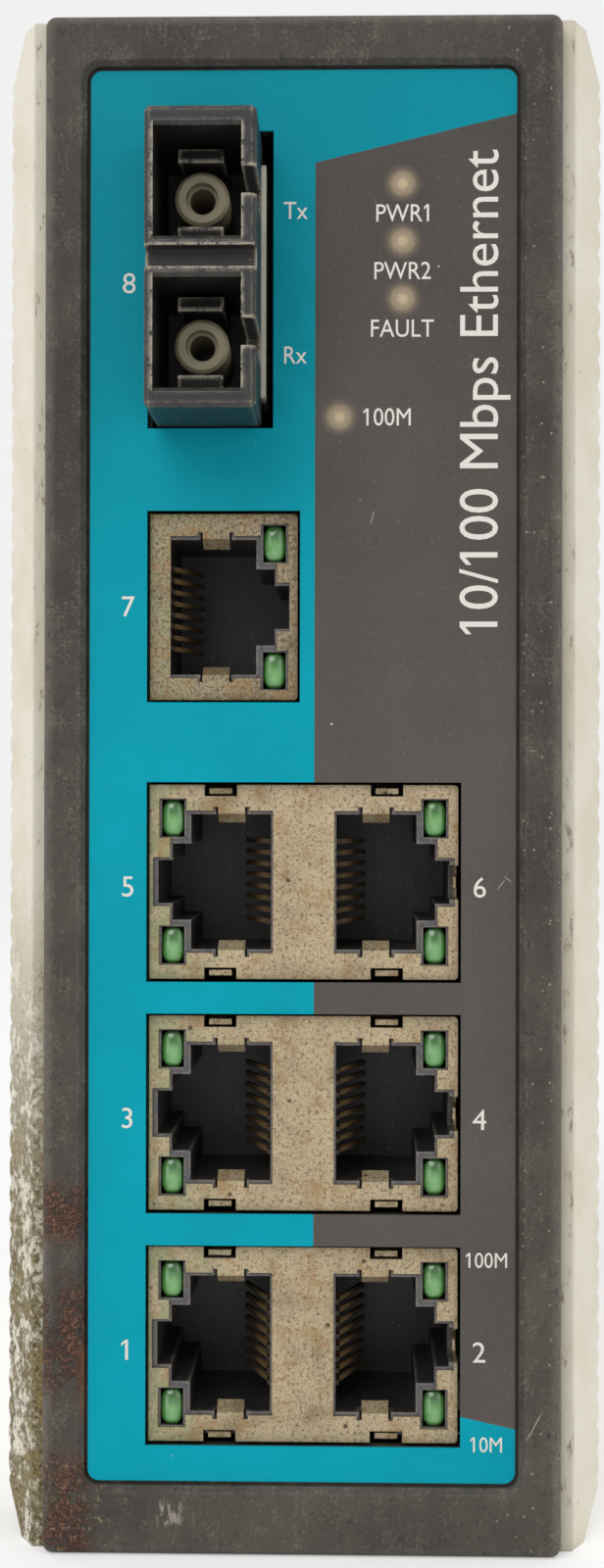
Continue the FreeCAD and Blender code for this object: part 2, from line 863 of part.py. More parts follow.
def make_side_screws(name, side):
    """Four screws that hold one side panel to the chassis flanges."""
    screws = countersunk_screw(name, S.screw_radius, S.screw_head_radius, S.side_screw_length)
    screws.repeat(None, "X", S.case_height - 2 * S.side_screw_low, 2)
    screws.repeat(None, "Y", SIDE_SCREW_BACK - S.side_screw_front, 2)
    # Turned to point inwards, the screw's own X runs down on the right and up on the left.
    turn = Rotation(Vector(0, 1, 0), 90 * side)
    level = S.case_height - S.side_screw_low if side > 0 else S.side_screw_low
    return screws.place(side * (HALF_CASE - S.reed_rise), S.side_screw_front, level, turn)


def make_frame_screws():
    """A small screw down through the top of the frame and one up through the bottom."""
    screws = countersunk_screw("frame_screws", S.small_screw_radius, S.small_head_radius,
                               S.frame_screw_length, S.case_height / 2)
    screws.mirror(None, "XY")
    return screws.place(0, FRAME_SCREW_Y, S.case_height / 2)


def make_din_screws():
    """Two screws through the rail plate into the back of the chassis."""
    screws = countersunk_screw("din_screws", S.screw_radius, S.screw_head_radius, S.din_screw_length)
    screws.repeat(None, "X", S.din_screw_spacing, 2)
    turn = Rotation(Vector(1, 0, 0), -90)
    return screws.place(-S.din_screw_spacing / 2, SEAT_DEPTH, S.rail_height, turn)


# ---------------------------------------------------------------- rail mount


def make_din_plate():
    """The aluminium plate that hooks over the rail: a rigid lip below and a deeper slot above."""
    plate = Piece("din_plate")
    back = S.case_depth + S.din_plate_thickness
    half_rail = S.rail_width / 2 + S.rail_gap
    middle = S.rail_height
    lip_back = back + S.seat_rise + S.rail_groove + S.lip_thickness
    groove_back = back + S.seat_rise + S.rail_groove
    low = middle - half_rail
    high = middle + half_rail + S.spring_room
    section = plate.sketch("YZ", at=-S.din_plate_width / 2)
    outline(section, [
        (S.case_depth, low - S.hook_wall), (lip_back, low - S.hook_wall),
        (lip_back, low + S.lip_reach), (groove_back, low + S.lip_reach),
        (groove_back, low), (back, low),
        (back, high), (groove_back, high),
        (groove_back, high - S.spring_room - S.lip_reach), (lip_back, high - S.spring_room - S.lip_reach),
        (lip_back, high + S.hook_wall), (S.case_depth, high + S.hook_wall),
    ])
    plate.pad(section, S.din_plate_width)
    seat = plate.sketch("XZ", at=back)
    reach = S.rail_width / 2 - S.lip_reach - S.seat_margin
    rectangle(seat, -S.din_plate_width / 2, middle - reach, S.din_plate_width / 2, middle + reach)
    plate.pad(seat, S.seat_rise)
    ends = either(at_level("Z", low - S.hook_wall), at_level("Z", high + S.hook_wall))
    plate.fillet(both(along("X"), ends, beyond("Y", S.case_depth)), S.hook_edge)
    noses = either(at_level("Z", low + S.lip_reach), at_level("Z", high - S.spring_room - S.lip_reach))
    plate.chamfer(both(along("X"), noses, at_level("Y", groove_back)), S.rail_gap)
    holes = plate.sketch("XZ", at=back + S.seat_rise)
    for x, z in DIN_SCREWS:
        circle(holes, x, z, S.screw_radius + S.hole_gap)
    plate.pocket(holes, S.din_plate_thickness + S.seat_rise, toward=-1)
    mouths = round_of(S.screw_radius + S.hole_gap)
    sink = S.screw_head_radius - S.screw_radius - S.hole_gap
    plate.chamfer(both(mouths, at_level("Y", back + S.seat_rise)), sink)
    return plate.place()


def make_din_spring():
    """An arched leaf in the upper slot, which presses the rail down on to the lower lip."""
    spring = Piece("din_spring")
    bow = spring.sketch("XZ")
    half = S.spring_length / 2
    drop = S.spring_room - S.rail_gap - S.spring_thickness
    # The leaf's ends touch the roof of the slot and its middle hangs down to the rail's edge.
    outer_radius = (half * half + drop * drop) / (2 * drop)
    inner_radius = outer_radius + S.spring_thickness
    centre = outer_radius - drop
    arcs = []
    for radius in (outer_radius, inner_radius):
        reach = (radius.value ** 2 - centre.value ** 2) ** 0.5
        arcs.append(Part.Arc(Vector(-reach, 0, 0), Vector(0, centre.value - radius.value, 0),
                             Vector(reach, 0, 0)))
    ends = [Part.LineSegment(arcs[0].StartPoint, arcs[1].StartPoint),
            Part.LineSegment(arcs[0].EndPoint, arcs[1].EndPoint)]
    bow.addGeometry(arcs + ends, False)
    held, sizes = fix_point(bow, 0, 3, 0, centre)
    joins = [
        Sketcher.Constraint("Coincident", 0, 3, 1, 3),
        Sketcher.Constraint("Radius", 0, number(outer_radius)),
        Sketcher.Constraint("Radius", 1, number(inner_radius)),
        Sketcher.Constraint("Coincident", 0, 1, 2, 1),
        Sketcher.Constraint("Coincident", 1, 1, 2, 2),
        Sketcher.Constraint("Coincident", 0, 2, 3, 1),
        Sketcher.Constraint("Coincident", 1, 2, 3, 2),
        Sketcher.Constraint("PointOnObject", 0, 1, -1),
        Sketcher.Constraint("PointOnObject", 0, 2, -1),
        Sketcher.Constraint("PointOnObject", 1, 1, -1),
        Sketcher.Constraint("PointOnObject", 1, 2, -1),
    ]
    add_constraints(bow, held + joins, sizes + [None, outer_radius, inner_radius] + [None] * 8)
    spring.pad(bow, S.rail_groove - S.seat_rise)
    roof = S.rail_height + S.rail_width / 2 + S.rail_gap + S.spring_room
    return spring.place(0, S.case_depth + S.din_plate_thickness + S.seat_rise, roof)


# ---------------------------------------------------------------- circuit boards


def hexagon(sketch, x, y, across):
    """A hexagon by its middle and its width across the flats."""
    half = across / 2
    corner = half * (2 / 3 ** 0.5)
    outline(sketch, [(x + corner, y), (x + corner / 2, y + half), (x - corner / 2, y + half),
                     (x - corner, y), (x - corner / 2, y - half), (x + corner / 2, y - half)])


def board_screw_places(front):
    """The four screws of a board, as places along the case and up it."""
    margin = S.board_margin + S.board_screw_margin
    levels = (margin, S.case_height - margin)
    return [(place, level) for place in (front, BOARD_BACK - S.board_screw_rear) for level in levels]


# Each board: its side of the case, its component face and the screws that hold it.
MAIN_BOARD = (-1, MAIN_FACE, board_screw_places(S.main_board_screw_front))
POWER_BOARD = (1, POWER_FACE, board_screw_places(S.power_board_screw_front))


def make_board(name, mounting, front, pin_places):
    """A circuit board on its edge, with its component face toward the middle of the case."""
    side, face, screw_places = mounting
    board = Piece(name)
    plate = board.sketch("YZ", at=face)
    rectangle(plate, front, S.board_margin, BOARD_BACK, S.case_height - S.board_margin)
    board.pad(plate, S.board_thickness, toward=side)
    drill = board.sketch("YZ", at=face)
    for y, z in screw_places:
        hexagon(drill, y, z, 2 * (S.small_screw_radius + S.hole_gap))
    for y, z in pin_places:
        around = S.lead_side + 2 * S.lead_gap
        centred(drill, y, z, around, around)
    board.pocket(drill, S.board_thickness, toward=side)
    return board.place()


def make_board_spacers():
    """Hexagonal spacers between the boards and the side flanges, four on each side."""
    spacers = Piece("board_spacers")
    flange = HALF_CHASSIS - S.sheet_wall
    for side, face, screw_places in (MAIN_BOARD, POWER_BOARD):
        back = face + side * S.board_thickness
        ring = spacers.sketch("YZ", at=back)
        for y, z in screw_places:
            hexagon(ring, y, z, S.spacer_width)
            hexagon(ring, y, z, 2 * S.small_screw_radius)
        spacers.pad(ring, flange - side * back, toward=side)
    return spacers.place()


def make_board_screws():
    """Hexagon-head screws from inside the case, through each board into its spacers.

    Nothing shows them or their holes, so their shanks have few faces.
    """
    screws = Piece("board_screws")
    for side, face, screw_places in (MAIN_BOARD, POWER_BOARD):
        heads = screws.sketch("YZ", at=face)
        shanks = screws.sketch("YZ", at=face)
        for y, z in screw_places:
            hexagon(heads, y, z, S.board_head_width)
            hexagon(shanks, y, z, 2 * S.small_screw_radius)
        screws.pad(heads, S.board_head_height, toward=-side)
        screws.pad(shanks, S.board_screw_length, toward=side)
    return screws.place()


def make_board_link():
    """The tall stacking connector that joins the two boards near the back."""
    link = Piece("board_link")
    strip = link.sketch("YZ", at=MAIN_FACE)
    back = BOARD_BACK - S.component_gap
    rectangle(strip, back - S.link_width, S.link_level, back, S.link_level + S.link_height)
    link.pad(strip, POWER_FACE - MAIN_FACE)
    seam = link.sketch("XZ", at=back)
    middle = (POWER_FACE + MAIN_FACE) / 2
    height = S.link_height + 2 * S.cut_margin
    centred(seam, middle, S.link_level + S.link_height / 2, S.link_seam_width, height)
    link.pocket(seam, S.link_seam_depth, toward=-1)
    return link.place()


# ---------------------------------------------------------------- copper ports


def port_outline(cut, edge, side, web, lamp_edge, latch_edge, tab_place):
    """One port's opening in a shield, from the web inwards to the latch slot at the edge.

    The corners outside the main opening are the two lamp windows, and the tongues of sheet
    between each window and the latch slot stay. A small relief at each side of the bent tab
    lets it fold without tearing.
    """
    main = S.opening_height / 2
    latch = S.latch_height / 2
    tab = edge + side * tab_place
    inner = side * S.tab_width / 2
    outer = side * (S.tab_width / 2 + S.tab_relief_width)
    deep = main + S.tab_relief_depth
    upper = [
        (web, main),
        (tab + outer, main), (tab + outer, deep), (tab + inner, deep), (tab + inner, main),
        (tab - inner, main), (tab - inner, deep), (tab - outer, deep), (tab - outer, main),
        (edge + side * S.lamp_inner, main),
        (edge + side * S.lamp_inner, S.lamp_high),
        (edge + side * lamp_edge, S.lamp_high),
        (edge + side * lamp_edge, S.lamp_low),
        (edge + side * S.latch_step, S.lamp_low),
        (edge + side * S.latch_step, latch),
        (edge + side * latch_edge, latch),
    ]
    lower = [(x, -z) for x, z in reversed(upper)]
    outline(cut, upper + lower)


def bent_tab(shield, middle, rise):
    """A short lip of sheet bent back into the opening, at its upper or lower edge."""
    level = S.opening_height / 2
    tip = level - S.tab_drop
    profile = shield.sketch("YZ", at=middle - S.tab_width / 2)
    outline(profile, [
        (0, rise * level), (0, rise * (level - S.shield_wall)), (S.tab_length, rise * (tip - S.shield_wall)),
        (S.tab_length, rise * tip), (S.shield_wall, rise * level),
    ])
    return shield.pad(profile, S.tab_width)


def spring_finger(shield, middle, rise, width):
    """A sprung strip in a slot of the shield's upper or lower wall, bowed out to touch the panel.

    Its free end is folded back on itself, so it is two sheets thick there.
    """
    wall = S.shield_wall
    outside = width / 2
    bow = outside + S.finger_bow
    half = S.finger_length / 2
    hem = wall + S.finger_hem
    tip = outside - S.finger_drop
    fold = tip + 2 * wall
    profile = shield.sketch("YZ", at=middle - S.finger_width / 2)
    outline(profile, [
        (S.finger_length, rise * outside), (half, rise * bow), (hem, rise * fold), (wall, rise * fold),
        (wall, rise * tip), (hem, rise * tip), (half, rise * (bow - wall)),
        (S.finger_length, rise * (outside - wall)),
    ])
    return shield.pad(profile, S.finger_width)


def finger_slot(piece, middle, rise, width, depth):
    """The slot that leaves a spring finger free, cut in from the upper or lower face."""
    cut = piece.sketch("YZ", at=middle - S.notch_width / 2)
    outside = width / 2
    outline(cut, [
        (0, rise * (outside - S.notch_depth)), (depth, rise * (outside - S.notch_depth)),
        (depth, rise * (outside - S.shield_wall)), (S.finger_length, rise * (outside - S.shield_wall)),
        (S.finger_length, rise * outside), (0, rise * outside),
    ])
    return piece.pocket(cut, S.notch_width)


def shield_box(shield, height, width):
    """The folded box: closed in front, above, below, behind and away from the board."""
    face = shield.sketch("XZ")
    centred(face, 0, 0, height, width)
    shield.pad(face, S.shield_length)
    shield.fillet(both(along("Y"), beyond("X", 0)), S.shield_bend)
    inside = shield.sketch("YZ", at=-height / 2)
    wall = S.shield_wall
    rectangle(inside, wall, -width / 2 + wall, S.shield_length - wall, width / 2 - wall)
    shield.pocket(inside, height - wall)


def make_stack_shield(name, level):
    """The shield of two ports, back to back about a centre web."""
    shield = Piece(name)
    half = S.stack_height / 2
    shield_box(shield, S.stack_height, S.stack_width)
    corners = [(end, rise) for end in (-1, 1) for rise in (-1, 1)]
    for end, rise in corners:
        finger_slot(shield, end * (half - S.stack_notch_place), rise, S.stack_width, S.shield_wall)
    ports = shield.sketch("XZ")
    for side in (-1, 1):
        port_outline(ports, side * half, -side, side * S.stack_web / 2, S.stack_lamp_edge,
                     S.stack_latch_edge, S.stack_tab_place)
    shield.pocket(ports, S.shield_wall)
    side = shield.sketch("XZ")
    centred(side, half, 0, 2 * S.side_notch_depth, S.side_notch_height)
    shield.pocket(side, S.finger_length / 2)
    for end, rise in corners:
        bent_tab(shield, end * (half - S.stack_tab_place), rise)
        spring_finger(shield, end * (half - S.stack_notch_place), rise, S.stack_width)
    strip = shield.sketch("XY", at=-S.side_finger_width / 2)
    wall = S.shield_wall
    tip = half - S.side_finger_drop
    outline(strip, [
        (half, S.finger_length / 2), (tip + wall, wall), (tip, wall), (half - wall, S.finger_length / 2),
    ])
    shield.pad(strip, S.side_finger_width)
    return shield.place(STACK_X, S.shield_front, level)


def make_single_shield(name):
    """The shield of one port that lies with its latch away from the board."""
    shield = Piece(name)
    half = S.single_height / 2
    shield_box(shield, S.single_height, S.single_width)
    port = shield.sketch("XZ")
    port_outline(port, half, -1, -half + S.single_far_edge, S.single_lamp_edge, S.single_latch_edge,
                 S.single_tab_place)
    shield.pocket(port, S.shield_wall)
    for rise in (-1, 1):
        bent_tab(shield, half - S.single_tab_place, rise)
    return shield.place(SINGLE_X, S.shield_front, S.single_level)


def lamp_places(half, sides):
    """The middle of each lamp in a port front."""
    across = half - (S.lamp_inner + S.stack_lamp_edge) / 2
    up = (S.lamp_low + S.lamp_high) / 2
    return [(side * across, rise * up) for side in sides for rise in (-1, 1)]


def port_cavity(insert, edge, side, far):
    """The space for a plug: wide by the contacts, and stepped in to the latch by the edge."""
    lamp_across = (S.lamp_inner + S.stack_lamp_edge) / 2
    lamp_up = (S.lamp_low + S.lamp_high) / 2
    shoulder = edge + side * (lamp_across + S.lamp_width / 2 + S.lamp_frame)
    step = edge + side * (S.latch_step + S.hole_gap)
    main = S.cavity_height / 2
    waist = lamp_up - S.lamp_height / 2 - S.lamp_frame
    latch = S.latch_height / 2 - S.shield_wall
    upper = [
        (far, main), (shoulder, main), (shoulder, waist), (step, waist), (step, latch),
        (edge + side * S.latch_floor, latch),
    ]
    hole = insert.sketch("XZ", at=S.shield_wall)
    outline(hole, upper + [(x, -z) for x, z in reversed(upper)])
    insert.pocket(hole, S.cavity_depth)


def insert_block(name, height, width, cavities, sides, tabs, fingers):
    """The black moulding inside a shield, with cavities, lamp seats and room for the sheet's lips."""
    insert = Piece(name)
    wall = S.shield_wall
    half = height / 2
    face = insert.sketch("XZ", at=wall)
    rectangle(face, -half, -width / 2 + wall, half - wall, width / 2 - wall)
    insert.pad(face, S.shield_length - 2 * wall)
    insert.fillet(both(along("Y"), beyond("X", 0)), S.shield_bend)
    for edge, side, far in cavities:
        port_cavity(insert, edge, side, far)
    seats = insert.sketch("XZ", at=wall)
    for x, z in lamp_places(half, sides):
        centred(seats, x, z, S.lamp_width, S.lamp_height)
    insert.pocket(seats, S.lamp_length)
    for middle in tabs:
        for rise in (-1, 1):
            relief = insert.sketch("XZ", at=wall)
            level = rise * (S.opening_height / 2)
            centred(relief, middle, level, S.tab_width + 2 * S.hole_gap, S.opening_height - S.cavity_height)
            insert.pocket(relief, S.tab_length)
    for middle in fingers:
        for rise in (-1, 1):
            relief = insert.sketch("XZ", at=wall)
            level = rise * (width / 2 - S.notch_depth / 2)
            centred(relief, middle, level, S.notch_width, S.notch_depth)
            insert.pocket(relief, S.finger_length)
    return insert


def make_contacts(name, wall_x, side):
    """Eight sprung strips on the cavity wall, each bent inwards and back into the cavity."""
    contacts = Piece(name)
    thick = S.contact_thickness
    bend = S.contact_start + S.contact_foot
    end = bend + S.contact_length
    first_level = -S.contact_pitch * (S.contact_count - 1) / 2 - S.contact_width / 2
    strip = contacts.sketch("XY", at=first_level)
    outline(strip, [
        (wall_x, S.contact_start), (wall_x, bend), (wall_x + side * S.contact_rise, end),
        (wall_x + side * (S.contact_rise + thick), end - thick),
        (wall_x + side * thick, bend - thick), (wall_x + side * thick, S.contact_start),
    ])
    first = contacts.pad(strip, S.contact_width)
    contacts.repeat([first], "Z", S.contact_pitch, S.contact_count)
    return contacts


def make_lamps(name, half, sides):
    """The green lamp lenses in a port front, each with a bevelled nose."""
    lamps = Piece(name)
    face = lamps.sketch("XZ", at=S.lamp_recess)
    for x, z in lamp_places(half, sides):
        centred(face, x, z, S.lamp_width, S.lamp_height)
    lamps.pad(face, S.lamp_length)
    lamps.chamfer(either(along("Y"), at_level("Y", S.lamp_recess)), S.lamp_bevel)
    return lamps


def make_ports():
    """The three double ports and the single one: shield, insert, contacts and lamps of each."""
    half = S.stack_height / 2
    far = S.stack_web / 2 + S.cavity_inset
    notch = half - S.stack_notch_place
    tab = half - S.stack_tab_place
    for pair, level in zip(PAIRS, STACK_LEVELS):
        name = f"jack_{pair}"
        make_stack_shield(f"{name}_shield", level)
        cavities = ((-half, 1, -far), (half, -1, far))
        insert = insert_block(f"{name}_insert", S.stack_height, S.stack_width, cavities, (-1, 1),
                              (-tab, tab), (-notch, notch))
        relief = insert.sketch("XZ", at=S.shield_wall)
        centred(relief, half, 0, S.notch_depth * 2, S.side_notch_height)
        insert.pocket(relief, S.finger_length / 2)
        contacts = make_contacts(f"{name}_contacts", -far, -1)
        contacts.mirror(None, "YZ")
        lamps = make_lamps(f"{name}_lamps", half, (-1, 1))
        for piece in (insert, contacts, lamps):
            piece.place(STACK_X, S.shield_front, level)
    half = S.single_height / 2
    far = -half + S.single_far_edge - S.cavity_inset
    make_single_shield("jack_7_shield")
    insert = insert_block("jack_7_insert", S.single_height, S.single_width, ((half, -1, far),), (1,),
                          (half - S.single_tab_place,), ())
    contacts = make_contacts("jack_7_contacts", far, 1)
    lamps = make_lamps("jack_7_lamps", half, (1,))
    for piece in (insert, contacts, lamps):
        piece.place(SINGLE_X, S.shield_front, S.single_level)


# ---------------------------------------------------------------- fibre port

APERTURE_X = -S.fibre_width / 2 + S.fibre_left_wall + S.fibre_aperture_width / 2


def make_fibre_housing():
    """The black duplex receptacle: two keyed apertures with sprung hooks round each sleeve."""
    housing = Piece("fibre_housing")
    half = S.fibre_width / 2
    face = housing.sketch("XZ")
    centred(face, 0, 0, S.fibre_width, S.fibre_height)
    housing.pad(face, S.fibre_nose_length)
    housing.chamfer(either(along("Y"), at_level("Y", 0)), S.fibre_edge)
    groove = housing.sketch("XZ")
    centred(groove, 0, 0, S.fibre_width + 2 * S.cut_margin, S.fibre_groove)
    housing.pocket(groove, S.fibre_groove_depth)
    centres = [side * S.fibre_pitch / 2 for side in (-1, 1)]
    holes = housing.sketch("XZ")
    for level in centres:
        centred(holes, APERTURE_X, level, S.fibre_aperture_width, S.fibre_aperture_height)
    housing.pocket(holes, S.fibre_depth)
    keys = housing.sketch("XZ")
    for level in centres:
        centred(keys, half, level, S.fibre_width - S.fibre_left_wall, S.fibre_key)
    housing.pocket(keys, S.fibre_key_depth)
    mouth = between("X", -half + S.fibre_left_wall, half - S.fibre_left_wall)
    housing.chamfer(both(at_level("Y", 0), mouth, along("X")), S.fibre_edge)

    # Each hook is a plate from the back wall with a catch on its inner side.
    for level in centres:
        for rise in (-1, 1):
            inner = S.hook_place - S.hook_thickness / 2
            outer = inner + S.hook_thickness
            front = S.hook_recess
            catch = inner - S.hook_catch
            hook = housing.sketch("YZ", at=APERTURE_X - S.hook_width / 2)
            outline(hook, [
                (S.fibre_depth, level + rise * outer), (front + S.hook_catch, level + rise * outer),
                (front, level + rise * inner), (front, level + rise * catch),
                (front + 2 * S.hook_catch, level + rise * catch),
                (front + 3 * S.hook_catch, level + rise * inner), (S.fibre_depth, level + rise * inner),
            ])
            housing.pad(hook, S.hook_width)
    return housing.place(FIBRE_X, FIBRE_FRONT, S.fibre_level)


def make_fibre_sleeves():
    """The two pale tubes that line up the fibre ferrules."""
    sleeves = Piece("fibre_sleeves")
    start = S.sleeve_recess
    step = start + S.sleeve_step
    edge = S.sleeve_edge
    profile = sleeves.sketch("YZ")
    outline(profile, [
        (start, S.sleeve_mouth), (start, S.sleeve_radius - edge), (start + edge, S.sleeve_radius),
        (S.fibre_depth, S.sleeve_radius), (S.fibre_depth, S.sleeve_bore), (step, S.sleeve_bore),
        (step, S.sleeve_mouth),
    ])
    sleeves.revolve(profile, "H_Axis")
    sleeves.repeat(None, "Z", S.fibre_pitch, 2)
    return sleeves.place(FIBRE_X + APERTURE_X, FIBRE_FRONT, S.fibre_level - S.fibre_pitch / 2)


def make_transceiver_body():
    """The sealed rear of the transceiver, behind the receptacle on the main board."""
    body = Piece("transceiver_body")
    block = body.sketch("XZ")
    centred(block, 0, 0, S.fibre_width, S.fibre_height)
    body.pad(block, S.fibre_body_length)
    body.chamfer(both(along("Y"), beyond("X", 0)), S.transceiver_edge)
    return body.place(FIBRE_X, FIBRE_FRONT + S.fibre_nose_length, S.fibre_level)


TRANSCEIVER_PIN_Y = FIBRE_FRONT + S.fibre_nose_length + S.fibre_body_length - S.lead_reach
FIRST_LEAD = S.fibre_level - S.lead_pitch * (S.lead_count - 1) / 2
TRANSCEIVER_PINS = [(TRANSCEIVER_PIN_Y, FIRST_LEAD + S.lead_pitch * place)
                    for place in range(round(S.lead_count.value))]


def make_transceiver_pins():
    """Nine leads in a row, from the transceiver down through the main board."""
    pins = Piece("transceiver_pins")
    row = pins.sketch("YZ", at=MAIN_FACE + S.fibre_standoff)
    for y, z in TRANSCEIVER_PINS:
        centred(row, y, z, S.lead_side, S.lead_side)
    pins.pad(row, S.lead_reach, toward=-1)
    return pins.place()


def make_fibre_strip():
    """The thin pale strip between the receptacle's right side and the edge of its window."""
    strip = Piece("fibre_side_strip")
    edge = strip.sketch("YZ", at=S.fibre_width / 2)
    start = S.fibre_reach - S.label_depth
    half = S.strip_height / 2
    rectangle(edge, start, -half, start + S.strip_length, half)
    strip.pad(edge, S.strip_thickness)
    strip.fillet(along("X"), S.strip_thickness)
    return strip.place(FIBRE_X, FIBRE_FRONT, S.fibre_level)


# ---------------------------------------------------------------- indicators


def make_indicators():
    """Four square light guides behind the label, and the moulding that holds them to the plate."""
    lamps = Piece("status_lamps")
    faces = lamps.sketch("XZ", at=FLOOR_FACE)
    for column, level in INDICATORS:
        centred(faces, column, level, S.indicator_side, S.indicator_side)
    lamps.pad(faces, S.indicator_length)
    lamps.place()
    holder = Piece("lamp_holder")
    margin = S.indicator_side / 2 + S.holder_margin
    right = S.indicator_column + margin
    low = S.link_lamp_level - margin
    high = S.indicator_top + margin
    bottom = S.indicator_top - S.indicator_pitch * 2 - margin
    block = holder.sketch("XZ", at=FLOOR_BACK)
    left = S.link_lamp_column - margin
    knee = S.link_lamp_level + margin
    inner = S.indicator_column - margin
    outline(block, [(left, low), (right, low), (right, high), (inner, high), (inner, knee), (left, knee)])
    holder.pad(block, S.holder_depth)
    holder.chamfer(both(along("Y"), beyond("Z", bottom)), S.holder_margin)
    seats = holder.sketch("XZ", at=FLOOR_BACK)
    for column, level in INDICATORS:
        centred(seats, column, level, S.indicator_side, S.indicator_side)
    holder.pocket(seats, S.holder_depth)
    holder.place()


# ---------------------------------------------------------------- power terminal


def make_terminal_header():
    """The socket on the power board that the terminal plug pushes down into."""
    header = Piece("terminal_header")
    block = header.sketch("XY", at=HEADER_LOW)
    centred(block, TERMINAL_X, TERMINAL_Y, S.header_width, HEADER_LENGTH)
    header.pad(block, S.header_height)
    inside = header.sketch("XY", at=HEADER_TOP)
    wall = 2 * S.header_wall
    centred(inside, TERMINAL_X, TERMINAL_Y, S.header_width - wall, HEADER_LENGTH - wall)
    header.pocket(inside, S.header_height - S.header_floor, toward=-1)
    # Coding ribs stand on the left inner wall, one between each pair of poles.
    rib = header.sketch("XY", at=HEADER_LOW + S.header_floor)
    rib_x = TERMINAL_X - S.header_width / 2 + S.header_wall
    rib_y = FIRST_POLE + S.pole_pitch / 2
    rectangle(rib, rib_x, rib_y - S.rib_width / 2, rib_x + S.rib_depth, rib_y + S.rib_width / 2)
    first = header.pad(rib, S.header_height - S.header_floor)
    header.repeat([first], "Y", S.pole_pitch, S.pole_count - 1)
    return header.place()


def make_header_pins():
    """Square pins that stand in the header, one for each pole."""
    pins = Piece("terminal_header_pins")
    first = pins.sketch("XY", at=HEADER_LOW + S.header_floor)
    centred(first, TERMINAL_X, FIRST_POLE, S.pin_side, S.pin_side)
    pins.pad(first, S.pin_rise)
    pins.chamfer(at_level("Z", HEADER_LOW + S.header_floor + S.pin_rise), S.pin_point)
    pins.repeat(None, "Y", S.pole_pitch, S.pole_count)
    return pins.place()


PLUG_LOW = HEADER_LOW + S.header_floor + S.plug_floor_gap
PLUG_TOP = S.case_height + S.plug_rise
PLUG_WIDTH = S.header_width - 2 * S.header_wall - 2 * S.plug_gap - S.rib_depth
PLUG_LENGTH = HEADER_LENGTH - 2 * S.header_wall - 2 * S.plug_gap
PLUG_X = TERMINAL_X + S.rib_depth / 2
CHAMBER_X = PLUG_X + S.entry_shift
CLAMP_LOW = PLUG_TOP - S.entry_depth


def make_terminal_plug():
    """The plug with a wire entry above and a clamp screw at the left of each pole."""
    plug = Piece("terminal_plug")
    block = plug.sketch("XY", at=PLUG_LOW)
    centred(block, PLUG_X, TERMINAL_Y, PLUG_WIDTH, PLUG_LENGTH)
    plug.pad(block, PLUG_TOP - PLUG_LOW)
    plug.chamfer(at_level("Z", PLUG_TOP), S.plug_edge)
    left = PLUG_X - PLUG_WIDTH / 2
    step = plug.sketch("XZ", at=TERMINAL_Y - PLUG_LENGTH / 2)
    outline(step, [(left, PLUG_TOP), (left + S.plug_shoulder, PLUG_TOP),
                   (left, PLUG_TOP - S.plug_shoulder_drop)])
    plug.pocket(step, PLUG_LENGTH)
    entry = plug.sketch("XY", at=PLUG_TOP)
    centred(entry, CHAMBER_X, FIRST_POLE, S.entry_length, S.entry_width)
    chamber = plug.pocket(entry, S.entry_depth, toward=-1)
    socket = plug.sketch("XY", at=PLUG_LOW)
    centred(socket, TERMINAL_X, FIRST_POLE, S.pin_socket, S.pin_socket)
    bore = plug.pocket(socket, S.pin_rise)
    drive = plug.sketch("YZ", at=left)
    circle(drive, FIRST_POLE, CLAMP_LOW + S.clamp_height / 2, S.clamp_screw_radius + S.clamp_screw_gap)
    access = plug.pocket(drive, PLUG_WIDTH / 2)
    plug.repeat([chamber, bore, access], "Y", S.pole_pitch, S.pole_count)
    return plug.place()


def make_terminal_clamps():
    """The metal cage at the bottom of each wire entry."""
    clamps = Piece("terminal_clamps")
    length = S.entry_length - 2 * S.clamp_gap
    width = S.entry_width - 2 * S.clamp_gap
    cage = clamps.sketch("XY", at=CLAMP_LOW)
    centred(cage, CHAMBER_X, FIRST_POLE, length, width)
    centred(cage, CHAMBER_X, FIRST_POLE, length - 2 * S.clamp_wall, width - 2 * S.clamp_wall)
    clamps.pad(cage, S.clamp_height)
    clamps.repeat(None, "Y", S.pole_pitch, S.pole_count)
    return clamps.place()


def make_terminal_screws():
    """The slotted clamp screw of each pole, reached from the left of the plug."""
    screws = Piece("terminal_screws")
    cage = CHAMBER_X - S.entry_length / 2 + S.clamp_gap
    head = PLUG_X - PLUG_WIDTH / 2 + S.plug_edge
    level = CLAMP_LOW + S.clamp_height / 2
    face = screws.sketch("YZ", at=head)
    circle(face, FIRST_POLE, level, S.clamp_screw_radius)
    screws.pad(face, cage - head)
    drive = screws.sketch("YZ", at=head)
    centred(drive, FIRST_POLE, level, S.clamp_slot_width, 2 * (S.clamp_screw_radius + S.cut_margin))
    screws.pocket(drive, S.clamp_slot_depth)
    screws.repeat(None, "Y", S.pole_pitch, S.pole_count)
    return screws.place()


# ---------------------------------------------------------------- option switches

FIRST_LEVER = DIP_Y - S.lever_pitch * (S.lever_count - 1) / 2
LEVER_SLOT = S.lever_length + S.lever_travel + 2 * S.lever_gap


def make_dip_body():
    """The block of option switches, with a slot for each lever."""
    block = Piece("dip_body")
    base = block.sketch("XY", at=DIP_TOP)
    centred(base, DIP_X, DIP_Y, S.dip_width, DIP_LENGTH)
    block.pad(base, S.dip_height, toward=-1)
    slots = block.sketch("XY", at=DIP_TOP)
    centred(slots, DIP_X, FIRST_LEVER, LEVER_SLOT, S.lever_width + 2 * S.lever_gap)
    first = block.pocket(slots, S.lever_depth + S.lever_floor_gap, toward=-1)
    block.repeat([first], "Y", S.lever_pitch, S.lever_count)
    return block.place()


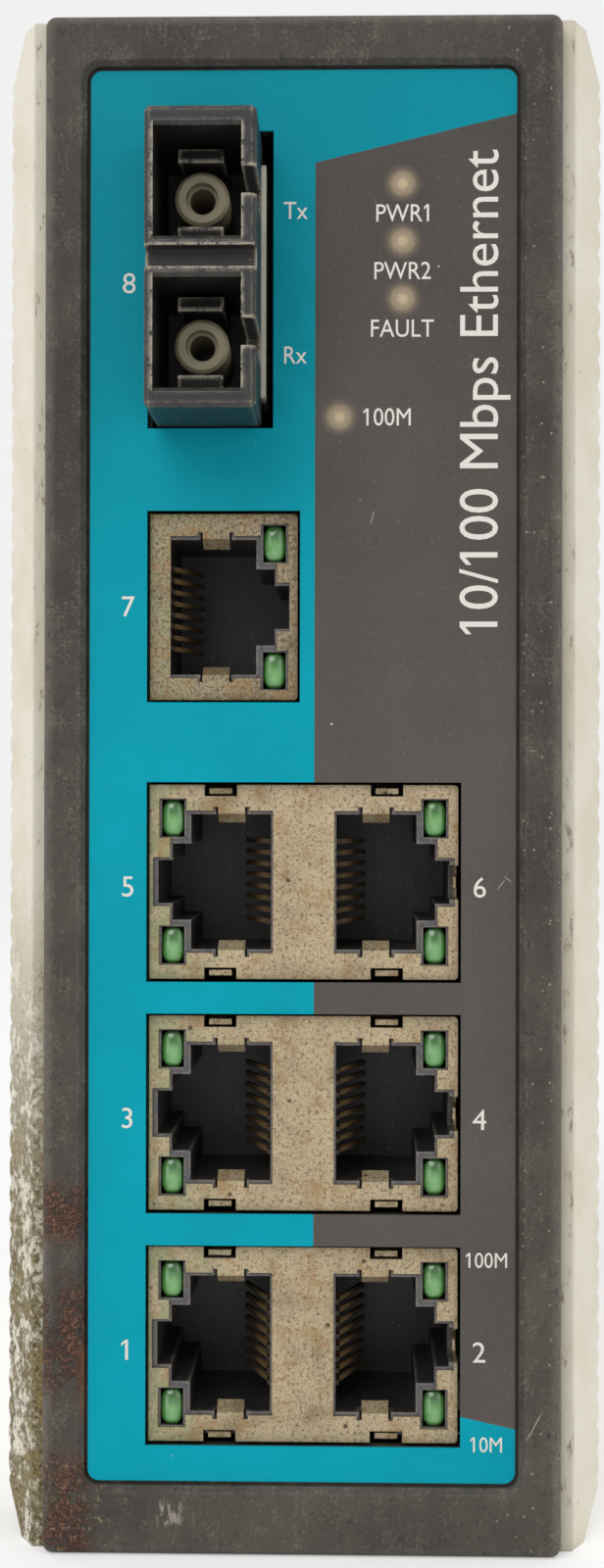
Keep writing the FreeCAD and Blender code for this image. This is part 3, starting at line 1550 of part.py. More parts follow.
def make_dip_levers():
    """The eight levers, all at the left end of their slots; each slides to the right."""
    for place in range(round(S.lever_count.value)):
        lever = Piece(f"dip_lever_{place + 1}")
        start = DIP_X - LEVER_SLOT / 2 + S.lever_gap
        middle = FIRST_LEVER + S.lever_pitch * place
        foot = lever.sketch("XY", at=DIP_TOP - S.lever_depth)
        half = S.lever_width / 2
        rectangle(foot, start, middle - half, start + S.lever_length, middle + half)
        lever.pad(foot, S.lever_depth + S.lever_rise)
        lever.fillet(both(along("Y"), at_level("Z", DIP_TOP + S.lever_rise)), S.lever_edge)
        lever.place()


# ---------------------------------------------------------------- earth screw and inner components


def make_earth_screw():
    """The earth screw in the top, over its washer."""
    washer = Piece("earth_washer")
    ring = washer.sketch("XY")
    circle(ring, 0, 0, S.earth_washer_radius)
    circle(ring, 0, 0, S.earth_radius + S.hole_gap)
    washer.pad(ring, S.earth_washer_thickness)
    washer.place(S.earth_x, EARTH_Y, S.case_height)
    screw = Piece("earth_screw")
    profile = screw.sketch("XZ")
    low = S.earth_washer_thickness
    outline(profile, [
        (0, low + S.earth_head_height), (S.earth_head_radius, low + S.earth_head_height),
        (S.earth_head_radius, low), (S.earth_radius, low), (S.earth_radius, low - S.earth_length),
        (0, low - S.earth_length),
    ])
    screw.revolve(profile)
    screw.chamfer(at_level("Z", low + S.earth_head_height), S.earth_head_edge)
    screw.place(S.earth_x, EARTH_Y, S.case_height)


def make_component(name, face, side, y, z, length, height, width):
    """A boxy component on a board: its length along the case, its height up, its width off the board."""
    part = Piece(name)
    base = part.sketch("YZ", at=face)
    rectangle(base, y, z, y + length, z + height)
    part.pad(base, width, toward=side)
    part.chamfer(along("X"), S.component_corner)
    return part.place()


def make_components():
    """What stands on the boards: switch chip, relay, voltage converter and capacitors."""
    chip_low = S.single_level - S.single_width
    make_component("switch_chip", MAIN_FACE, 1, S.main_board_screw_front + S.chip_inset, chip_low,
                   S.chip_side, S.chip_side, S.chip_height)
    relay_low = HEADER_LOW - S.relay_height - S.component_gap
    make_component("relay", POWER_FACE, -1, S.terminal_front + S.component_gap, relay_low,
                   S.relay_length, S.relay_height, S.relay_width)
    converter_low = relay_low - S.converter_width - S.component_gap
    make_component("voltage_converter", POWER_FACE, -1, S.terminal_front + S.component_gap,
                   converter_low, S.converter_length, S.converter_width, S.converter_height)
    cans = Piece("capacitors")
    base = cans.sketch("YZ", at=POWER_FACE)
    can_y = S.terminal_front + S.component_gap + S.capacitor_radius
    circle(base, can_y, converter_low - S.component_gap - S.capacitor_radius, S.capacitor_radius)
    cans.pad(base, S.capacitor_height, toward=-1)
    cans.repeat(None, "Y", S.capacitor_pitch, S.capacitor_count)
    cans.place()


# ---------------------------------------------------------------- build, check and write

make_front_frame()
make_front_label()
make_side_panel("left_side_panel", -1)
make_side_panel("right_side_panel", 1)
make_chassis()
make_side_screws("left_side_screws", -1)
make_side_screws("right_side_screws", 1)
make_frame_screws()
make_din_plate()
make_din_spring()
make_din_screws()
make_board("main_board", MAIN_BOARD, S.board_front, TRANSCEIVER_PINS)
make_board("power_board", POWER_BOARD, S.power_board_front, [])
make_board_spacers()
make_board_screws()
make_board_link()
make_ports()
make_fibre_housing()
make_fibre_sleeves()
make_transceiver_body()
make_transceiver_pins()
make_fibre_strip()
make_indicators()
make_terminal_header()
make_header_pins()
make_terminal_plug()
make_terminal_clamps()
make_terminal_screws()
make_dip_body()
make_dip_levers()
make_earth_screw()
make_components()
doc.recompute()


def check_document():
    """Stops if anything failed, or a cut took nothing away, before any file is written."""
    for item in doc.Objects:
        if "Invalid" in item.State or "Error" in item.State:
            raise RuntimeError(f"{item.Name} did not compute: {item.State}")
        if item.TypeId == "PartDesign::Pocket" and item.BaseFeature:
            if item.Shape.Volume > item.BaseFeature.Shape.Volume - 1e-6:
                raise RuntimeError(f"{item.Name} cut nothing")
    for piece in Piece.made:
        shape = piece.body.Shape
        if shape.isNull() or not shape.isValid() or shape.Volume <= 0:
            raise RuntimeError(f"{piece.body.Label} has no valid solid")


check_document()
os.makedirs("parts", exist_ok=True)
for piece in Piece.made:
    piece.body.Shape.exportStep(f"parts/{piece.body.Label}.step")
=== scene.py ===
import math

import bmesh
import bpy
from bpy.props import FloatProperty, FloatVectorProperty, PointerProperty, StringProperty
from mathutils import Matrix, Vector


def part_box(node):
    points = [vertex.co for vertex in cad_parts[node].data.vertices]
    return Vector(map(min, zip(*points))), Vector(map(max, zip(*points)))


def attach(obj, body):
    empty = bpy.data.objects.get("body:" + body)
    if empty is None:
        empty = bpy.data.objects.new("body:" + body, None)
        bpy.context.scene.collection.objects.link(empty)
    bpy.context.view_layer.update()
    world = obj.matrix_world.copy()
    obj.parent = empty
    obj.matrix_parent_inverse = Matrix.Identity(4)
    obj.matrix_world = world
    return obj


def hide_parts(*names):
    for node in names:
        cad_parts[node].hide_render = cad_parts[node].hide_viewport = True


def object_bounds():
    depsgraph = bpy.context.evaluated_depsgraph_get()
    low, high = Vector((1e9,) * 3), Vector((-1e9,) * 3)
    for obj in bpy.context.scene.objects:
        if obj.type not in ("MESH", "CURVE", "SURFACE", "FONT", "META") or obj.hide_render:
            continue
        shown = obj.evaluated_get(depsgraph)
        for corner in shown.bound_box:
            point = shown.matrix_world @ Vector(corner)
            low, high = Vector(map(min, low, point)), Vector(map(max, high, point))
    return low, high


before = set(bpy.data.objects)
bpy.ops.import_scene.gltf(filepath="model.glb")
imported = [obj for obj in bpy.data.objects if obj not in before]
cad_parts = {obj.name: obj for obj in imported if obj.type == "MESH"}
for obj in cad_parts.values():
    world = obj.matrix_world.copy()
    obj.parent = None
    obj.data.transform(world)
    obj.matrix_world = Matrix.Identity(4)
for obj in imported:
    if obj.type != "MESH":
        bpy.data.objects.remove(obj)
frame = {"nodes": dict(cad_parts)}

# Finishes, lettering, lenses, screws and stage for an eight-port ethernet switch on a 35 mm rail.
# The CAD model gives every shape and place; what is made here sits on it or stands for one of
# its nodes. Settings are in millimetres or in Blender's own units, and meshes are in metres.

bl_info = {
    "name": "Rail ethernet switch",
    "version": (1, 0, 0),
    "blender": (4, 5, 0),
    "location": "3D View > Sidebar > Rail switch",
    "description": "Finishes, lettering, lenses, screws and stage for a rail ethernet switch",
    "category": "Object",
}

CAD_BOX = [list(corner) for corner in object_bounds()]
MM = 0.001
JACKS = ("jack_12", "jack_34", "jack_56", "jack_7")
FACING_FRONT = Matrix.Rotation(math.radians(90), 4, "X")
LABEL_LOW, LABEL_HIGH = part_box("front_label")
LABEL_MIDDLE = (LABEL_LOW.x + LABEL_HIGH.x) / 2


def paint(red, green, blue):
    """A colour as the eye sees it, from 0 to 255, in the linear numbers of a shader."""
    levels = [level / 255 for level in (red, green, blue)]
    return tuple(
        level / 12.92 if level <= 0.04045 else ((level + 0.055) / 1.055) ** 2.4
        for level in levels
    )


def shade(tone, share):
    """That share of a tone's light."""
    return [level * share for level in tone]


# ---- settings


def colour(name, description, default):
    return FloatVectorProperty(
        name=name, description=description, default=default, subtype="COLOR", size=3, min=0, max=1
    )


def length(name, description, default, low=0.0, high=1000.0):
    """A size in millimetres."""
    return FloatProperty(name=name, description=description, default=default, min=low, max=high)


def share(name, description, default):
    """A size as a share of another."""
    return FloatProperty(name=name, description=description, default=default, min=0, max=1)


class SwitchColours(bpy.types.PropertyGroup):
    """Colours of the printed, moulded and painted parts."""

    field: colour("Field", "Left field of the front label", paint(0, 164, 184))
    slate: colour("Slate", "Right field of the front label", paint(95, 89, 85))
    ink: colour("Ink", "Lettering on the label and the switches", paint(228, 226, 216))
    frame: colour("Frame", "Moulded front frame", paint(82, 77, 69))
    panel: colour("Side panels", "Paint of the reeded side panels", paint(246, 240, 224))
    shield: colour("Port shields", "Plated shields of the copper ports", paint(196, 177, 143))
    lens: colour("Port lamps", "Moulded lenses beside the ports", paint(70, 136, 58))
    terminal: colour("Terminal", "Power terminal and its plug", paint(46, 128, 70))
    options: colour("Option switch", "Body of the option switches", paint(168, 36, 34))


class SwitchPrint(bpy.types.PropertyGroup):
    """Sizes of the printed lettering, in millimetres."""

    digit: length("Digits", "Height of the port numbers", 1.75)
    word: length("Words", "Height of the capitals beside the lamps", 1.5)
    small: length("Small words", "Height of the speed marks by port 2", 1.3)
    legend: length("Legend", "Height of the capitals of the upright legend", 3.3)
    legend_narrow: share("Legend narrowing", "Width of the legend against the plain face", 0.98)
    legend_words: StringProperty(
        name="Legend words",
        description="Words that run up the right of the label",
        default="10/100 Mbps Ethernet",
    )
    narrow: share("Narrowing", "Width of the letters against the plain face", 0.88)
    gap: length("Digit gap", "From a port's side to the middle of its number", 1.85)
    film: length("Ink film", "How far the ink stands proud of the label", 0.02)


class SwitchLenses(bpy.types.PropertyGroup):
    """Shape of the lamp lenses beside the ports."""

    crown: length("Crown", "How far a lens face swells at its middle", 0.45)
    corner: share("Corner", "How far the corners draw in", 0.3)


class SwitchScrews(bpy.types.PropertyGroup):
    """Countersunk screws with a cross recess, as shares of the head's radius."""

    shank: share("Shank", "Radius of the shank", 0.52)
    slot: share("Slot", "Width of each arm of the recess", 0.26)
    reach: share("Reach", "How far each arm reaches from the middle", 0.58)
    depth: share("Depth", "How deep the recess goes", 0.36)


class SwitchStage(bpy.types.PropertyGroup):
    """Camera and light."""

    distance: length("Distance", "From the middle of the front face to the camera", 200.0)
    side: length("Side", "How far the camera stands to the right of the middle", 4.9, -500)
    rise: length("Rise", "How far the camera stands above the middle", -1.0, -500)
    focal: FloatProperty(
        name="Lens", description="Focal length on a sensor 36 mm long", default=52.6, unit="CAMERA"
    )
    roll: FloatProperty(
        name="Roll",
        description="Turn of the camera about its line of sight",
        default=math.radians(0.12),
        subtype="ANGLE",
    )
    sky: FloatProperty(name="Sky", description="Strength of the even light", default=0.62, min=0)
    key: FloatProperty(name="Key lamp", description="Power of the main lamp in watts", default=8.5)
    fill: FloatProperty(name="Fill lamp", description="Power of the fill lamp in watts", default=3)


# ---- node graphs


def pick(sockets, key):
    """A socket by its index, identifier or name."""
    if isinstance(key, int):
        return sockets[key]
    for socket in sockets:
        if socket.identifier == key:
            return socket
    return sockets[key]


def forward(operation):
    return lambda self, other: self.graph.math(operation, self, other)


def reflected(operation):
    return lambda self, other: self.graph.math(operation, other, self)


class Value:
    """A number that varies over a surface. An expression on it adds its Math nodes."""

    def __init__(self, graph, socket):
        self.graph = graph
        self.socket = socket

    __add__, __radd__ = forward("ADD"), reflected("ADD")
    __sub__, __rsub__ = forward("SUBTRACT"), reflected("SUBTRACT")
    __mul__, __rmul__ = forward("MULTIPLY"), reflected("MULTIPLY")
    __truediv__, __rtruediv__ = forward("DIVIDE"), reflected("DIVIDE")
    __pow__, __rpow__ = forward("POWER"), reflected("POWER")
    __mod__, __rmod__ = forward("FLOORED_MODULO"), reflected("FLOORED_MODULO")
    __lt__, __gt__ = forward("LESS_THAN"), forward("GREATER_THAN")
    most, least = forward("MAXIMUM"), forward("MINIMUM")

    def __neg__(self):
        return self * -1

    def __abs__(self):
        return self.graph.math("ABSOLUTE", self)


class Graph:
    """A node tree that nodes are added to."""

    def __init__(self, tree):
        self.tree = tree

    def add(self, kind, settings=None, sockets=None):
        """A new node: its settings first, then its sockets' values or links."""
        node = self.tree.nodes.new(kind)
        for name, value in (settings or {}).items():
            setattr(node, name, value)
        for key, value in (sockets or {}).items():
            self.link(value, pick(node.inputs, key))
        return node

    def link(self, value, socket):
        """Feeds a socket from a node, a socket or a Value, or sets it to a plain value."""
        if isinstance(value, bpy.types.Node):
            value = value.outputs[0]
        elif isinstance(value, Value):
            value = value.socket
        if isinstance(value, bpy.types.NodeSocket):
            self.tree.links.new(value, socket)
        else:
            socket.default_value = value

    def math(self, operation, first, second=None):
        sockets = {0: first} if second is None else {0: first, 1: second}
        node = self.add("ShaderNodeMath", {"operation": operation}, sockets)
        return Value(self, node.outputs[0])

    def vector(self, operation, first, second):
        return self.add("ShaderNodeVectorMath", {"operation": operation}, {0: first, 1: second})

    def combine(self, x, y, z):
        return self.add("ShaderNodeCombineXYZ", sockets={0: x, 1: y, 2: z})

    def split(self, vector):
        node = self.add("ShaderNodeSeparateXYZ", sockets={0: vector})
        return [Value(self, output) for output in node.outputs]

    def ease(self, value, low, high):
        """0 below low and 1 above high, or the other way round where low is the larger."""
        node = self.add(
            "ShaderNodeMapRange",
            {"interpolation_type": "SMOOTHSTEP", "clamp": True},
            {"Value": value, "From Min": low, "From Max": high},
        )
        return Value(self, node.outputs[0])


class Finish(Graph):
    """A material: its Principled shader and what varies over it, measured in millimetres."""

    def __init__(self, name, **constants):
        self.material = bpy.data.materials.new(name)
        self.material.use_nodes = True
        super().__init__(self.material.node_tree)
        self.tree.nodes.clear()
        self.shader = self.add("ShaderNodeBsdfPrincipled")
        self.output = self.add("ShaderNodeOutputMaterial", sockets={"Surface": self.shader})
        for key, value in constants.items():
            self.link(value, self.socket(key))
        self.tone = None

    def socket(self, key):
        """An input of the shader by its name in small letters."""
        return pick(self.shader.inputs, key.replace("_", " ").title().replace("Ior", "IOR"))

    def coat(self, factor, tone):
        """Lays a tone over the present one by factor."""
        self.tone = self.mix(factor, self.tone, tone)

    def done(self, **links):
        """The material, its shader fed with the tone and with what else varies."""
        for key, value in (("base_color", self.tone), *links.items()):
            self.link(value, self.socket(key))
        return self.material

    def place(self, origin=(0, 0, 0), stretch=(1, 1, 1), turn=(0, 0, 0)):
        """Object coordinates in millimetres from origin, stretched and turned by a Mapping node."""
        scale = [factor / MM for factor in stretch]
        shift = Matrix.Rotation(turn[2], 3, "Z") @ Matrix.Rotation(turn[1], 3, "Y")
        shift = shift @ Matrix.Rotation(turn[0], 3, "X")
        shift = shift @ Vector([-o * s for o, s in zip(origin, scale)])
        source = self.add("ShaderNodeTexCoord").outputs["Object"]
        return self.add(
            "ShaderNodeMapping",
            {"vector_type": "POINT"},
            {"Vector": source, "Location": shift, "Rotation": turn, "Scale": scale},
        )

    def noise(self, place, size, detail=2.0, roughness=0.5):
        """Soft noise whose blobs are about size millimetres across."""
        node = self.add(
            "ShaderNodeTexNoise",
            sockets={
                "Vector": place, "Scale": 1 / size, "Detail": detail, "Roughness": roughness
            },
        )
        return Value(self, node.outputs[0])

    def specks(self, place, size, share, reach):
        """Round specks: share of the cells of that size hold one, reach of a cell wide."""
        spots = self.add("ShaderNodeTexVoronoi", sockets={"Vector": place, "Scale": 1 / size})
        chosen = self.split(spots.outputs["Color"])[0] < share
        near = self.ease(Value(self, spots.outputs["Distance"]), reach, reach * 0.4)
        return chosen * near

    def mix(self, factor, first, second):
        """Second over first by factor."""
        first, second = [
            tone if isinstance(tone, (Value, bpy.types.NodeSocket)) else (*tone[:3], 1)
            for tone in (first, second)
        ]
        node = self.add(
            "ShaderNodeMix",
            {"data_type": "RGBA", "clamp_factor": True},
            {"Factor_Float": factor, "A_Color": first, "B_Color": second},
        )
        return pick(node.outputs, "Result_Color")

    def bump(self, height, depth, strength=1.0, edge=0.0):
        """Relief of that depth in millimetres, over edges eased to a radius where one is given."""
        sockets = {"Height": height, "Distance": depth * MM, "Strength": strength}
        if edge:
            sockets["Normal"] = self.add("ShaderNodeBevel", {"samples": 4}, {"Radius": edge * MM})
        return self.add("ShaderNodeBump", sockets=sockets)

    def grime(self, reach):
        """1 in corners and hollows, where shade falls and dirt settles, within reach millimetres,
        and 0 in the open.
        """
        node = self.add("ShaderNodeAmbientOcclusion", {"samples": 6}, {"Distance": reach * MM})
        return 1 - Value(self, node.outputs["AO"])

    def edges(self, reach):
        """1 along the outward edges, within reach millimetres, and 0 on open faces."""
        node = self.add(
            "ShaderNodeAmbientOcclusion",
            {"samples": 6, "inside": True, "only_local": True},
            {"Distance": reach * MM},
        )
        return self.ease(1 - Value(self, node.outputs["AO"]), 0.08, 0.4)

    def attribute(self, name):
        """The piece's own attribute of that name."""
        return Value(self, self.add("ShaderNodeAttribute", {"attribute_name": name}).outputs["Fac"])


class Pattern(Graph):
    """A Geometry Nodes group for something that repeats, with named inputs for its sizes."""

    def __init__(self, name, **sizes):
        super().__init__(bpy.data.node_groups.new(name, "GeometryNodeTree"))
        face = self.tree.interface
        face.new_socket("Geometry", in_out="INPUT", socket_type="NodeSocketGeometry")
        self.identifiers = {}
        for key, value in sizes.items():
            socket = face.new_socket(
                key.replace("_", " ").capitalize(), in_out="INPUT", socket_type="NodeSocketFloat"
            )
            socket.default_value = value
            self.identifiers[key] = socket.identifier
        face.new_socket("Geometry", in_out="OUTPUT", socket_type="NodeSocketGeometry")
        self.sizes = sizes
        self.entry = self.add("NodeGroupInput")

    def size(self, key):
        return Value(self, pick(self.entry.outputs, self.identifiers[key]))

    def shift(self, geometry, height):
        """The geometry moved along Z."""
        offset = self.combine(0, 0, height)
        sockets = {"Geometry": geometry, "Translation": offset}
        return self.add("GeometryNodeTransform", sockets=sockets)

    def join(self, parts):
        node = self.add("GeometryNodeJoinGeometry")
        for part in parts:
            self.link(part, node.inputs[0])
        return node

    def boolean(self, operation, parts):
        """The parts made one, or the later ones cut from the first."""
        node = self.add("GeometryNodeMeshBoolean", {"operation": operation, "solver": "EXACT"})
        if operation == "DIFFERENCE":
            self.link(parts[0], node.inputs[0])
            parts = parts[1:]
        for part in parts:
            self.link(part, node.inputs[1])
        return node

    def finish(self, geometry, material):
        """Ends the tree: real meshes with their material."""
        real = self.add("GeometryNodeRealizeInstances", sockets={0: geometry})
        sockets = {"Geometry": real, "Material": material}
        dressed = self.add("GeometryNodeSetMaterial", sockets=sockets)
        self.add("NodeGroupOutput", sockets={0: dressed})

    def grow(self, name, points, material, ways=()):
        """The mesh that the tree makes on those points, as a plain object at the origin.

        Each point holds the way it faces, where ways are given, as its attribute facing.
        """
        seeds = bpy.data.meshes.new(name + "_seeds")
        seeds.from_pydata([tuple(point) for point in points], [], [])
        if ways:
            facing = seeds.attributes.new("facing", "FLOAT_VECTOR", "POINT")
            for entry, way in zip(facing.data, ways):
                entry.vector = way
        carrier = bpy.data.objects.new(name + "_carrier", seeds)
        bpy.context.scene.collection.objects.link(carrier)
        modifier = carrier.modifiers.new("pattern", "NODES")
        modifier.node_group = self.tree
        for key, value in self.sizes.items():
            modifier[self.identifiers[key]] = value
        made = carrier.evaluated_get(bpy.context.evaluated_depsgraph_get())
        mesh = bpy.data.meshes.new_from_object(made)
        carrier.modifiers.remove(modifier)
        bpy.data.objects.remove(carrier)
        return piece(name, mesh, material)


# ---- small helpers


def piece(name, mesh, material):
    """A finished piece at the origin, with its place in its mesh."""
    mesh.name = name
    if not mesh.polygons:
        raise RuntimeError(f"{name} came out empty")
    made = bpy.data.objects.new(name, mesh)
    bpy.context.scene.collection.objects.link(made)
    mesh.materials.clear()
    mesh.materials.append(material)
    return made


def dress(material, *nodes):
    """Gives CAD nodes a finish through their objects' material slots."""
    for name in nodes:
        target = frame["nodes"][name]
        if not target.material_slots:
            target.data.materials.append(material)
        for slot in target.material_slots:
            slot.material = material


def solids(node):
    """The box of each separate solid of a CAD node, from a merged copy of its mesh."""
    shape = bmesh.new()
    shape.from_mesh(frame["nodes"][node].data)
    bmesh.ops.remove_doubles(shape, verts=shape.verts, dist=1e-6)
    unseen = set(shape.verts)
    boxes = []
    while unseen:
        reached = [unseen.pop()]
        for vert in reached:
            for edge in vert.link_edges:
                other = edge.other_vert(vert)
                if other in unseen:
                    unseen.discard(other)
                    reached.append(other)
        low = Vector([min(vert.co[axis] for vert in reached) for axis in range(3)])
        high = Vector([max(vert.co[axis] for vert in reached) for axis in range(3)])
        boxes.append((low, high))
    shape.free()
    return sorted(boxes, key=lambda box: [round(box[0][axis], 5) for axis in (2, 0, 1)])


def middle_of(node):
    low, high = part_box(node)
    return (low + high) / 2


class Lettering:
    """Words gathered into one mesh. A word stands by the middle of its capitals."""

    def __init__(self, sizes):
        self.shape = bmesh.new()
        self.thickness = sizes.film * MM
        self.capital = max(vert.co.y for vert in self.outline("H", 0).vertices)
        left, right = self.reach("1")
        self.stem = right - left

    @staticmethod
    def outline(words, depth):
        """The words' mesh at size 1, from its left."""
        text = bpy.data.curves.new("words", "FONT")
        text.body = words
        text.resolution_u = 4
        text.extrude = depth
        carrier = bpy.data.objects.new("words", text)
        bpy.context.scene.collection.objects.link(carrier)
        made = carrier.evaluated_get(bpy.context.evaluated_depsgraph_get())
        mesh = bpy.data.meshes.new_from_object(made)
        bpy.data.objects.remove(carrier)
        bpy.data.curves.remove(text)
        return mesh

    def reach(self, words):
        """Where the words start and end."""
        places = [vert.co.x for vert in self.outline(words, 0).vertices]
        return min(places), max(places)

    def flag(self, shape, right, depth):
        """The slanting head of a figure 1 whose stem ends there."""
        near = right - self.stem
        far, drop = near - self.capital * 0.2, self.capital * 0.17
        corners = [(near, self.capital), (far, self.capital - drop)]
        corners += [(place, height - self.stem) for place, height in reversed(corners)]
        front, back = [
            [shape.verts.new((place, height, side)) for place, height in corners]
            for side in (depth, -depth)
        ]
        shape.faces.new(front)
        shape.faces.new(reversed(back))
        for place in range(4):
            following = (place + 1) % 4
            shape.faces.new((front[following], front[place], back[place], back[following]))

    def write(self, words, height, middle, facing=FACING_FRONT, turn=0.0, narrow=1.0):
        scale = height / self.capital
        depth = self.thickness / scale / 2
        mesh = self.outline(words, depth)
        shape = bmesh.new()
        shape.from_mesh(mesh)
        for place, letter in enumerate(words, start=1):
            if letter == "1":
                self.flag(shape, self.reach(words[:place])[1], depth)
        shape.to_mesh(mesh)
        shape.free()
        mesh.transform(
            Matrix.Translation(middle)
            @ facing
            @ Matrix.Rotation(turn, 4, "Z")
            @ Matrix.Diagonal((scale * narrow, scale, scale, 1))
            @ Matrix.Translation((-sum(self.reach(words)) / 2, -self.capital / 2, 0))
        )
        self.shape.from_mesh(mesh)
        bpy.data.meshes.remove(mesh)

    def piece(self, name, material):
        mesh = bpy.data.meshes.new(name)
        self.shape.to_mesh(mesh)
        self.shape.free()
        return piece(name, mesh, material)


HEAD_SIDES, SHANK_SIDES = 40, 28  # sides of a round screw's head and shank


def crossed_screws(name, nodes, facing, sizes, material):
    """Countersunk screws with a cross recess, one in place of each solid of the nodes.

    facing gives the way a flat head looks from the middle of its solid.
    """
    boxes = [box for node in nodes for box in solids(node)]
    middles = [(low + high) / 2 for low, high in boxes]
    ways = [Vector(facing(middle)) for middle in middles]
    low, high = boxes[0]
    extent = high - low
    length, radius = abs(extent.dot(ways[0])), min(extent) / 2
    screw = Pattern(
        name,
        head=radius,
        shank=radius * sizes.shank,
        length=length,
        slot=sizes.slot * radius,
        reach=sizes.reach * radius,
        depth=sizes.depth * radius,
    )
    head, shank = screw.size("head"), screw.size("shank")
    sink = head - shank
    straight = screw.size("length") - sink
    cone = screw.add(
        "GeometryNodeMeshCone",
        sockets={
            "Vertices": HEAD_SIDES, "Radius Top": head, "Radius Bottom": shank, "Depth": sink
        },
    )
    stem = screw.add(
        "GeometryNodeMeshCylinder",
        sockets={"Vertices": SHANK_SIDES, "Radius": shank, "Depth": straight},
    )
    slot, reach, depth = screw.size("slot"), screw.size("reach") * 2, screw.size("depth") * 2
    arms = [
        screw.add("GeometryNodeMeshCube", sockets={"Size": screw.combine(*arm, depth)})
        for arm in ((reach, slot), (slot, reach))
    ]
    cut = screw.boolean("DIFFERENCE", [screw.shift(cone, -sink), screw.boolean("UNION", arms)])
    lowered = screw.shift(stem, -sink - straight / 2)
    way = screw.add(
        "GeometryNodeInputNamedAttribute", {"data_type": "FLOAT_VECTOR"}, {"Name": "facing"}
    )
    turned = screw.add("FunctionNodeAlignRotationToVector", {"axis": "Z"}, {"Vector": way})
    points = {"Points": screw.entry, "Instance": screw.join([cut, lowered]), "Rotation": turned}
    screw.finish(screw.add("GeometryNodeInstanceOnPoints", sockets=points), material)
    tops = [middle + way * length / 2 for middle, way in zip(middles, ways)]
    made = screw.grow(name, tops, material, ways)
    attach(made, "case")
    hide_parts(*nodes)


# ---- finishes

# The label's fields in millimetres: how far right of the label's middle they meet, and the height
# over its foot and the slope of the right field's upper and lower ends.
FIELD_SPLIT = 1.05
FIELD_TOP = (115.4, 0.24)
FIELD_FOOT = (8.9, -0.222)
LABEL_MARKS = (((17.4, 52.3), 55, 0.6), ((18.0, 52.8), -40, 0.5), ((6.1, 84.5), 75, 0.7))
DUST = paint(150, 143, 128)
STAIN_AND_SHADE = paint(92, 76, 52)


def scratch(finish, place, middle, angle, reach, width):
    """1 along a fine scratch: its middle, its angle in degrees from level, half its length."""
    x, _, z = finish.split(place)
    turn = math.radians(angle)
    right, up = x - middle[0], z - middle[1]
    along = right * math.cos(turn) + up * math.sin(turn)
    over = up * math.cos(turn) - right * math.sin(turn)
    return finish.ease(abs(along), reach, reach * 0.5) * finish.ease(abs(over), width, width * 0.3)


def label_place(finish):
    """Millimetres right of the label's middle and up from its foot."""
    return finish.place(origin=(LABEL_MIDDLE, LABEL_LOW.y, LABEL_LOW.z))


def slate_share(finish, place):
    """1 on the label's right field and 0 on the left one."""
    x, _, z = finish.split(place)
    right = finish.ease(x, FIELD_SPLIT - 0.03, FIELD_SPLIT + 0.03)
    under = finish.ease(z - x * FIELD_TOP[1], FIELD_TOP[0] + 0.04, FIELD_TOP[0] - 0.04)
    over = finish.ease(z - x * FIELD_FOOT[1], FIELD_FOOT[0] - 0.04, FIELD_FOOT[0] + 0.04)
    return right * under * over


def lamp_distance(finish, place):
    """Distance in millimetres from the nearest status lamp, square to the front."""
    flat = finish.vector("MULTIPLY", place, (1, 0, 1))
    nearest = None
    for low, high in solids("status_lamps"):
        spot = ((low + high) / 2 - Vector((LABEL_MIDDLE, 0, LABEL_LOW.z))) / MM
        apart = finish.vector("DISTANCE", flat, (spot.x, 0, spot.z))
        away = Value(finish, apart.outputs["Value"])
        nearest = away if nearest is None else nearest.least(away)
    return nearest


